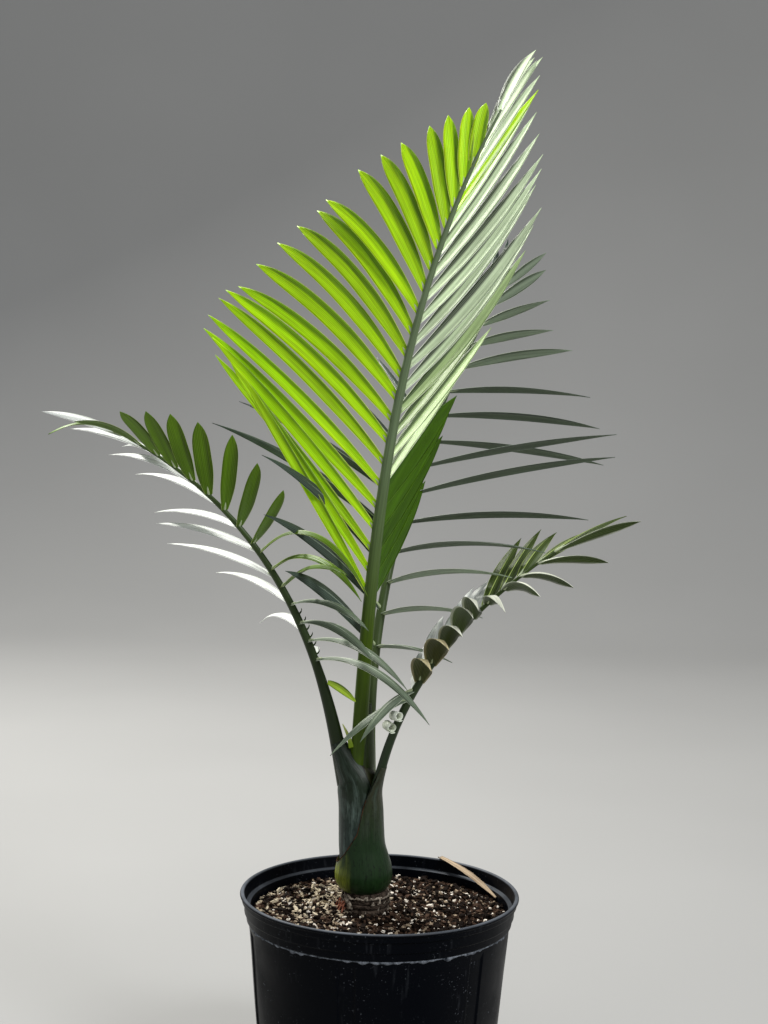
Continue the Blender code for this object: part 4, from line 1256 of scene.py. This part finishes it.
def leaflet_half_width(row, along, share, width):
    """Half width along a leaflet: narrow at the foot, full before the middle, rounded off to the tip."""
    rise = LEAF_FOOT + (1.0 - LEAF_FOOT) * np.sin(np.minimum(along / 0.45, 1.0) * math.pi / 2)
    fall = 1.0 - np.clip((along - 0.45) / 0.55, 0.0, 1.0) ** row.tip
    return width / 2 * evenly(row.broad, share) * rise * np.maximum(fall, 0.02)


def leaflet_rings(frond, row, width, rng):
    """A row's leaflets as thin folded blades, with what their colour, margins and midribs need.

    Across each blade the height falls away from the midrib on both sides, and the sheet is thickest there.
    """
    line, edge, over, reach, share = leaflet_lines(frond, row, rng)
    along = np.linspace(0.0, 1.0, LEAF_STEPS + 1)
    half = leaflet_half_width(row, along, share, width) * rng.uniform(0.92, 1.06, (row.count, 1))
    root = stalk_radius(frond, np.linspace(row.first, row.last, row.count))[:, None]
    half = np.where(along < 0.02, np.minimum(half, 0.8 * root), half)
    fold = np.radians(row.fold + rng.normal(0.0, 3.0, (row.count, 1, 1)))
    top = np.linspace(-1.0, 1.0, 9)
    across = np.concatenate([top, top[-2:0:-1]])
    sheet = np.concatenate([np.ones(9), -np.ones(7)])
    dip = np.sqrt(across**2 + CREASE) - math.sqrt(CREASE)
    thick = 0.00016 + 0.00020 * (1.0 - across**2)
    flat = half[..., None] * across * np.cos(fold)
    high = -half[..., None] * dip * np.sin(fold) + sheet * thick
    rings = line[:, :, None] + flat[..., None] * edge[:, :, None] + high[..., None] * over[:, :, None]
    alike = rng.uniform(0.0, 1.0, (row.count, 1, 1))
    lengthwise = (along * reach)[..., None]
    grain = np.stack(np.broadcast_arrays(half[..., None] * across, lengthwise, alike), axis=-1)
    underside = np.broadcast_to(sheet < 0.0, grain.shape[:3]).astype(float)
    return rings, grain, underside, line + over * 0.0002


def vein_rings(rings, ribs):
    """Thin rods along both margins and the midrib of each leaflet, tapering to its tip."""
    paths = np.concatenate([rings[:, :-2, 0], rings[:, :-2, 8], ribs[:, :-2]])
    share = np.linspace(0.0, 1.0, paths.shape[1])
    margin = np.broadcast_to(0.00026 - 0.00022 * share, (2 * len(ribs), len(share)))
    midrib = np.broadcast_to(0.00060 - 0.00056 * share, (len(ribs), len(share)))
    return round_rods(paths, np.concatenate([margin, midrib]), sides=5)


def foot_rings(frond, row, ribs):
    """The pale swollen foot of each leaflet: a short rod from the rachis, thickest in its middle."""
    share = np.linspace(0.0, 1.0, 6)
    steps = np.linalg.norm(np.diff(ribs, axis=1), axis=2).mean(axis=1)[:, None, None]
    paths = ribs[:, :1] + (ribs[:, 2:3] - ribs[:, :1]) / (2 * steps) * FOOT_LENGTH * share[:, None]
    root = stalk_radius(frond, np.linspace(row.first, row.last, row.count))[:, None]
    radii = (0.0010 + 0.22 * root) * (1.0 - 0.65 * share**2)
    return round_rods(paths, radii, sides=7)


def leaflet_tones(row):
    """The tone of each leaflet of a row, spread evenly from the first leaflet to the last."""
    share = np.linspace(0.0, 0.999, row.count)
    return np.array(row.tones)[(share * len(row.tones)).astype(int)]


class PALM_OT_stalks(bpy.types.Operator):
    """Makes the four leaf stalks and the rachis that each runs on into"""

    bl_idname = "palm.stalks"
    bl_label = "Leaf stalks"

    def execute(self, context):
        colours = {
            "a": ("#3c5200", "#5f7050", (0.50, 0.70)),
            "b": ("#4c5c34", "#46563a", (0.45, 0.75)),
            "c": ("#1e2b10", "#465a2c", (0.45, 0.68)),
            "d": ("#263420", "#3a4c1c", (0.40, 0.55)),
        }
        for letter, frond in FRONDS.items():
            low, high, change = colours[letter]
            skin = smooth_stalk(f"palm_stalk_{letter}", linear(low), linear(high), change)
            name = f"rachis_{letter}"
            dress(name, tubes(name, *stalk_rings(frond)), skin, "palm_stalk", f"stalk_{letter}")
        return {"FINISHED"}


class PALM_OT_fronds(bpy.types.Operator):
    """Grows every leaflet along the four rachises, with its midrib and pale margins"""

    bl_idname = "palm.fronds"
    bl_label = "Fronds"

    def execute(self, context):
        settings = context.scene.palm_leaf
        green = linear("#5f8a12")
        pale = linear("#c9d3bd")
        shaded = linear("#333f30")
        # Tones are lit and shaded copies of one leaf green: lime is partly a painted glow of light through
        # the leaflet,
        # and turned painted glare above with painted shade beneath.
        # silver the waxy underside brightened by painted glare, glare a painted reflection, shade painted
        # shade,
        tones = {
            "lime": (settings.lime, settings.lime, linear("#dcec6a"), 0.5, green, -0.0016),
            "silver": (settings.deep, settings.silver, linear("#f4fae8"), 0.0, linear("#12240a"), 0.0015),
            "deep": (settings.deep, settings.deep, linear("#587a1c"), 0.0, linear("#2c4c08"), 0.0022),
            "fresh": (settings.deep, linear("#a8c084"), linear("#e6f0cc"), 0.0, linear("#20380a"), 0.0012),
            "shade": (settings.shade, linear("#56644f"), linear("#a9b5a4"), 0.0, shaded, 0.0014),
            "sage": (linear("#6c7b66"), linear("#8d9c86"), pale, 0.0, linear("#4b5a45"), 0.0014),
            "olive": (settings.olive, settings.olive, linear("#a9bd68"), 0.0, linear("#3c5206"), -0.0024),
            "glare": (
                linear("#eef2ec"), linear("#d2d8ce"), linear("#ffffff"), 0.0, linear("#8f9b8a"), 0.0026
            ),
            "scorched": (
                linear("#c2b68e"), linear("#363e12"), linear("#e0dab4"), 0.0, linear("#31340f"), -0.0050
            ),
            "dusk": (linear("#3a4a1c"), linear("#3a4a1c"), linear("#a9bd68"), 0.0, linear("#8f9c80"), 0.0034),
            "turned": (linear("#eef0de"), linear("#3a4c14"), pale, 0.0, linear("#26340e"), -0.0040),
        }
        blades = {tone: living_leaf(f"leaf_{tone}", *values) for tone, values in tones.items()}
        veins = {
            tone: smooth_stalk(f"vein_{tone}", values[2], values[2], (0.4, 0.9))
            for tone, values in tones.items()
        }
        callus = smooth_stalk("leaf_foot_callus", linear("#aab78e"), linear("#c3cfae"), (0.4, 0.9))
        for letter, frond in FRONDS.items():
            nodes = (f"frond_{letter}_lower", f"frond_{letter}_upper")
            for number, row in enumerate(frond.rows):
                rng = np.random.default_rng(100 + 10 * ord(letter) + number)
                rings, grain, underside, ribs = leaflet_rings(frond, row, settings.width, rng)
                for tone in dict.fromkeys(row.tones):
                    chosen = leaflet_tones(row) == tone
                    name = f"leaflets_{letter}_{row.name}_{tone}"
                    mesh = tubes(name, rings[chosen], grain[chosen], underside[chosen])
                    dress(name, mesh, blades[tone], "palm_leaf", *nodes)
                    lines = vein_rings(rings[chosen], ribs[chosen])
                    name = f"veins_{letter}_{row.name}_{tone}"
                    dress(name, tubes(name, lines, np.zeros_like(lines)), veins[tone], "palm_leaf")
                feet = foot_rings(frond, row, ribs)
                name = f"feet_{letter}_{row.name}"
                dress(name, tubes(name, feet, np.zeros_like(feet)), callus, "palm_leaf")
        return {"FINISHED"}


# Rolled and broken leaflets


def rolled_rings(middle, axis, radius, length):
    """A leaflet rolled up like paper: a thin sheet that winds inwards round the roll's axis."""
    axis = unit(np.array(axis))
    across = unit(np.cross(axis, UP))
    above = np.cross(across, axis)
    share = np.linspace(0.0, 1.0, 70)[:, None, None]
    turn = math.tau * ROLL_TURNS * share - 2.2
    depth = np.array((0.00014, 0.00014, -0.00014, -0.00014))[None, :, None]
    run = np.array((-0.5, 0.5, 0.5, -0.5))[None, :, None] * length * (1.0 - 0.25 * share)
    reach = radius * (1.0 - 0.35 * share) + depth
    return np.array(middle) + axis * run + reach * (np.cos(turn) * across + np.sin(turn) * above)


def hook_rings(frond, places):
    """Short hooked stubs of broken leaflets: they stand out from the rachis and curl towards its tip."""
    points, headings = along_spine(frond, places)
    out = unit(np.cross(headings, (0.0, 1.0, 0.0)))
    out = out * np.sign(out[:, :1])
    share = np.linspace(0.0, 1.0, 7)[:, None]
    root = stalk_radius(frond, places)[:, None, None]
    reach = root + 0.0034
    aside = out[:, None] * reach * np.sin(1.5 * share)
    path = points[:, None] + aside + headings[:, None] * 0.0045 * share**2
    radii = 0.0026 * (1.0 - 0.90 * share[:, 0]) + np.zeros((len(places), 1))
    return round_rods(path, radii, sides=8, squash=0.6)


def strip_rings(start, end, width, rise):
    """A short folded leaflet between two points, arched up by its rise and pointed at its end."""
    start, end = np.array(start), np.array(end)
    share = np.linspace(0.0, 1.0, 24)[:, None]
    path = start + (end - start) * share + UP * rise * 4.0 * share * (1.0 - share)
    ahead = unit(np.gradient(path, axis=0))
    edge = unit(np.cross(ahead, (0.0, 1.0, 0.35)))
    over = np.cross(edge, ahead)
    half = width / 2 * np.sin(math.pi * (0.12 + 0.87 * share)) ** 0.6
    across = np.concatenate([np.linspace(-1.0, 1.0, 7), np.linspace(1.0, -1.0, 7)[1:-1]])
    sheet = np.concatenate([np.full(7, 0.0002), np.full(5, -0.0002)])
    high = sheet - half * 0.45 * np.abs(across)
    rings = path[:, None] + (half * across)[..., None] * edge[:, None] + high[..., None] * over[:, None]
    grain = np.stack(np.broadcast_arrays(half * across, 0.04 * share, 0.0 * share + 0.6), axis=-1)
    return rings, grain


class PALM_OT_broken_leaflets(bpy.types.Operator):
    """Adds the rolled leaflets, the hooked stubs and the short curled leaflets near the stem"""

    bl_idname = "palm.broken_leaflets"
    bl_label = "Broken leaflets"

    def execute(self, context):
        pale = smooth_stalk("rolled_leaflet", linear("#d2dac6"), linear("#f2f5ea"), (0.405, 0.440))
        rolls = np.stack([
            rolled_rings((0.0062, -0.0440, 0.4172), (0.40, -0.88, -0.10), 0.0052, 0.015),
            rolled_rings((0.0126, -0.0480, 0.4285), (0.50, -0.84, 0.05), 0.0049, 0.014),
        ])
        dress("rolled_leaflets", tubes("rolled_leaflets", rolls, np.zeros_like(rolls)), pale, "palm_leaf")
        horn = smooth_stalk("leaflet_stub", linear("#22301a"), linear("#2f4220"), (0.45, 0.62))
        hooks = hook_rings(FRONDS["c"], np.array((0.232, 0.256, 0.279, 0.300, 0.322, 0.345)))
        dress("leaflet_stubs", tubes("leaflet_stubs", hooks, np.zeros_like(hooks)), horn, "palm_leaf")
        # Its darker half is painted shade, as on the other leaflets.
        bright = linear("#b6d83a")
        curled = living_leaf("leaf_curled", bright, bright, linear("#e4efb0"), 0.0, linear("#3f5c10"), 0.0012)
        strip, grain = strip_rings((-0.0555, -0.012, 0.4540), (-0.0275, -0.020, 0.4360), 0.0085, 0.003)
        dress("curled_leaflet", tubes("curled_leaflet", strip[None], grain[None]), curled, "palm_leaf")
        return {"FINISHED"}


# Dry leaf


def dry_leaf_rings():
    """A curled strip from the rim down to the mix: an arched path with a thin ragged cross-section."""
    high = np.array((0.0640, 0.1235, POT_HEIGHT + 0.0012))
    low = np.array((0.1195, 0.0440, SOIL_EDGE_Z + 0.0035))
    along = unit(low - high)
    edge = unit(np.cross(along, UP))
    over = np.cross(edge, along)
    share = np.linspace(0.0, 1.0, 60)
    half = np.interp(share, (0.0, 0.2, 0.5, 0.8, 1.0), (0.0030, 0.0042, 0.0050, 0.0038, 0.0015))
    half = half * (1.0 + 0.10 * ripple(share[:, None] * np.ones(3) * 0.1, 0.012, 51))
    path = high + (low - high) * share[:, None] + over * (0.004 * np.sin(math.pi * share))[:, None]
    across = np.concatenate([np.linspace(-1, 1, 9), np.linspace(1, -1, 9)[1:-1]])
    sheet = np.concatenate([np.ones(9), -np.ones(7)]) * 0.0003
    curl = 0.0012 * across**2 + sheet + 0.0003 * np.sin(across * 9.0)
    rings = path[:, None] + (half[:, None] * across)[..., None] * edge + curl[None, :, None] * over
    grain = np.stack(np.broadcast_arrays(across * 0.004, 0.0 * across, share[:, None] * 0.1), axis=-1)
    return rings[None], grain[None]


def dry_leaf_finish():
    """A dead leaf strip: straw-coloured and matt, with darker lengthwise fibres."""
    material, tree, shader = new_finish("dry_palm_leaf", 0.80, 1.45)
    fibres = grained(tree, 0.0008, 0.040)
    share = add_node(tree, "ShaderNodeMapRange", {0: fibres, 1: 0.36, 2: 0.62})
    colour = add_node(
        tree,
        "ShaderNodeMix",
        {0: share, 6: (*linear("#7a6650"), 1.0), 7: (*linear("#c2ad90"), 1.0)},
        data_type="RGBA", output=2
    )
    tree.links.new(colour, shader.inputs["Base Color"])
    bump = add_node(tree, "ShaderNodeBump", {"Height": fibres, "Distance": 0.0005, "Strength": 0.7})
    tree.links.new(bump, shader.inputs["Normal"])
    return material


class PALM_OT_dry_leaf(bpy.types.Operator):
    """Lays the dry leaf strip over the back of the rim"""

    bl_idname = "palm.dry_leaf"
    bl_label = "Dry leaf"

    def execute(self, context):
        strip = tubes("dry_leaf", *dry_leaf_rings())
        dress("dry_leaf", strip, dry_leaf_finish(), "dry_leaf", "dry_leaf_strip")
        return {"FINISHED"}


# Stage


def backdrop_mesh():
    """Floor and backdrop in one: a profile that runs back flat and curves up, carried across in X."""
    bend = np.linspace(0.0, math.pi / 2, 24)
    y = np.concatenate([[-6.0], 3.0 + 1.5 * np.sin(bend), [4.5]])
    z = np.concatenate([[0.0], 1.5 * (1 - np.cos(bend)), [6.0]])
    x = np.array((-7.0, 7.0))
    points = np.stack(np.broadcast_arrays(x[None], y[:, None], z[:, None]), axis=-1).reshape(-1, 3)
    i = np.arange(len(y) - 1) * 2
    faces = np.stack([i, i + 1, i + 3, i + 2], axis=-1)
    return make_mesh("backdrop", points, faces.tolist())


def add_softbox(name, place, size, power, colour):
    """A square area light that looks at the middle of the palm."""
    light = bpy.data.lights.new(name, "AREA")
    light.shape = "SQUARE"
    light.size = size
    light.energy = power
    light.color = colour
    obj = bpy.data.objects.new(name, light)
    bpy.context.scene.collection.objects.link(obj)
    obj.location = place
    obj.rotation_euler = (Vector(LIGHTS_AIM) - Vector(place)).to_track_quat("-Z", "Y").to_euler()


def photo_camera():
    """The camera: pitched down, then rolled a little about the way it looks."""
    right = Vector((1.0, 0.0, 0.0))
    ahead = Vector((0.0, math.cos(CAMERA_PITCH), -math.sin(CAMERA_PITCH)))
    above = Vector((0.0, math.sin(CAMERA_PITCH), math.cos(CAMERA_PITCH)))
    rolled_right = right * math.cos(CAMERA_ROLL) + above * math.sin(CAMERA_ROLL)
    rolled_above = above * math.cos(CAMERA_ROLL) - right * math.sin(CAMERA_ROLL)
    data = bpy.data.cameras.new("photo_camera")
    data.lens = CAMERA_LENS
    data.sensor_width = SENSOR_WIDTH
    data.clip_start = 0.05
    obj = bpy.data.objects.new("photo_camera", data)
    bpy.context.scene.collection.objects.link(obj)
    turned = Matrix((rolled_right, rolled_above, -ahead)).transposed()
    obj.matrix_world = Matrix.Translation(CAMERA_PLACE) @ turned.to_4x4()
    bpy.context.scene.camera = obj


class PALM_OT_stage(bpy.types.Operator):
    """Sets the pale floor and backdrop, the lights and the camera"""

    bl_idname = "palm.stage"
    bl_label = "Stage"

    def execute(self, context):
        settings = context.scene.palm_stage
        floor = bpy.data.objects.new("backdrop", backdrop_mesh())
        context.scene.collection.objects.link(floor)
        floor.data.materials.append(matt_plaster("painted_plaster", settings.floor))
        add_softbox("key_light", KEY_PLACE, 0.45, settings.key, (1.0, 0.98, 0.93))
        add_softbox("fill_light", FILL_PLACE, 0.9, settings.fill, (0.98, 0.99, 1.0))
        world = bpy.data.worlds.new("pale_room")
        world.use_nodes = True
        background = world.node_tree.nodes["Background"]
        background.inputs["Color"].default_value = (*linear("#e6e8ea"), 1.0)
        background.inputs["Strength"].default_value = 0.52
        context.scene.world = world
        context.scene.view_settings.view_transform = "Standard"
        photo_camera()
        return {"FINISHED"}


OPERATORS = (
    PALM_OT_pot, PALM_OT_mix, PALM_OT_stem_foot, PALM_OT_sheaths, PALM_OT_stalks, PALM_OT_fronds,
    PALM_OT_broken_leaflets, PALM_OT_dry_leaf, PALM_OT_stage,
)
SETTINGS = {
    "palm_pot": PotSettings,
    "palm_stem": StemSettings,
    "palm_leaf": LeafSettings,
    "palm_stage": StageSettings,
}


class PALM_PT_pieces(bpy.types.Panel):
    """Lists the palm's pieces and their settings"""

    bl_idname = "PALM_PT_pieces"
    bl_label = "Potted sierra palm"
    bl_space_type = "VIEW_3D"
    bl_region_type = "UI"
    bl_category = "Palm"

    def draw(self, context):
        for operator in OPERATORS:
            self.layout.operator(operator.bl_idname)
        for name, group in SETTINGS.items():
            box = self.layout.box()
            for setting in group.__annotations__:
                box.prop(getattr(context.scene, name), setting)


def register():
    """Registers the settings, the operators and the panel."""
    for name, group in SETTINGS.items():
        bpy.utils.register_class(group)
        setattr(bpy.types.Scene, name, PointerProperty(type=group))
    for each in (*OPERATORS, PALM_PT_pieces):
        bpy.utils.register_class(each)


def unregister():
    """Takes away what register added."""
    for each in (PALM_PT_pieces, *reversed(OPERATORS)):
        bpy.utils.unregister_class(each)
    for name, group in SETTINGS.items():
        delattr(bpy.types.Scene, name)
        bpy.utils.unregister_class(group)


def main():
    """Makes every piece in turn."""
    register()
    bpy.ops.palm.pot()
    bpy.ops.palm.mix()
    bpy.ops.palm.stem_foot()
    bpy.ops.palm.sheaths()
    bpy.ops.palm.stalks()
    bpy.ops.palm.fronds()
    bpy.ops.palm.broken_leaflets()
    bpy.ops.palm.dry_leaf()
    bpy.ops.palm.stage()


if __name__ == "__main__":
    main()
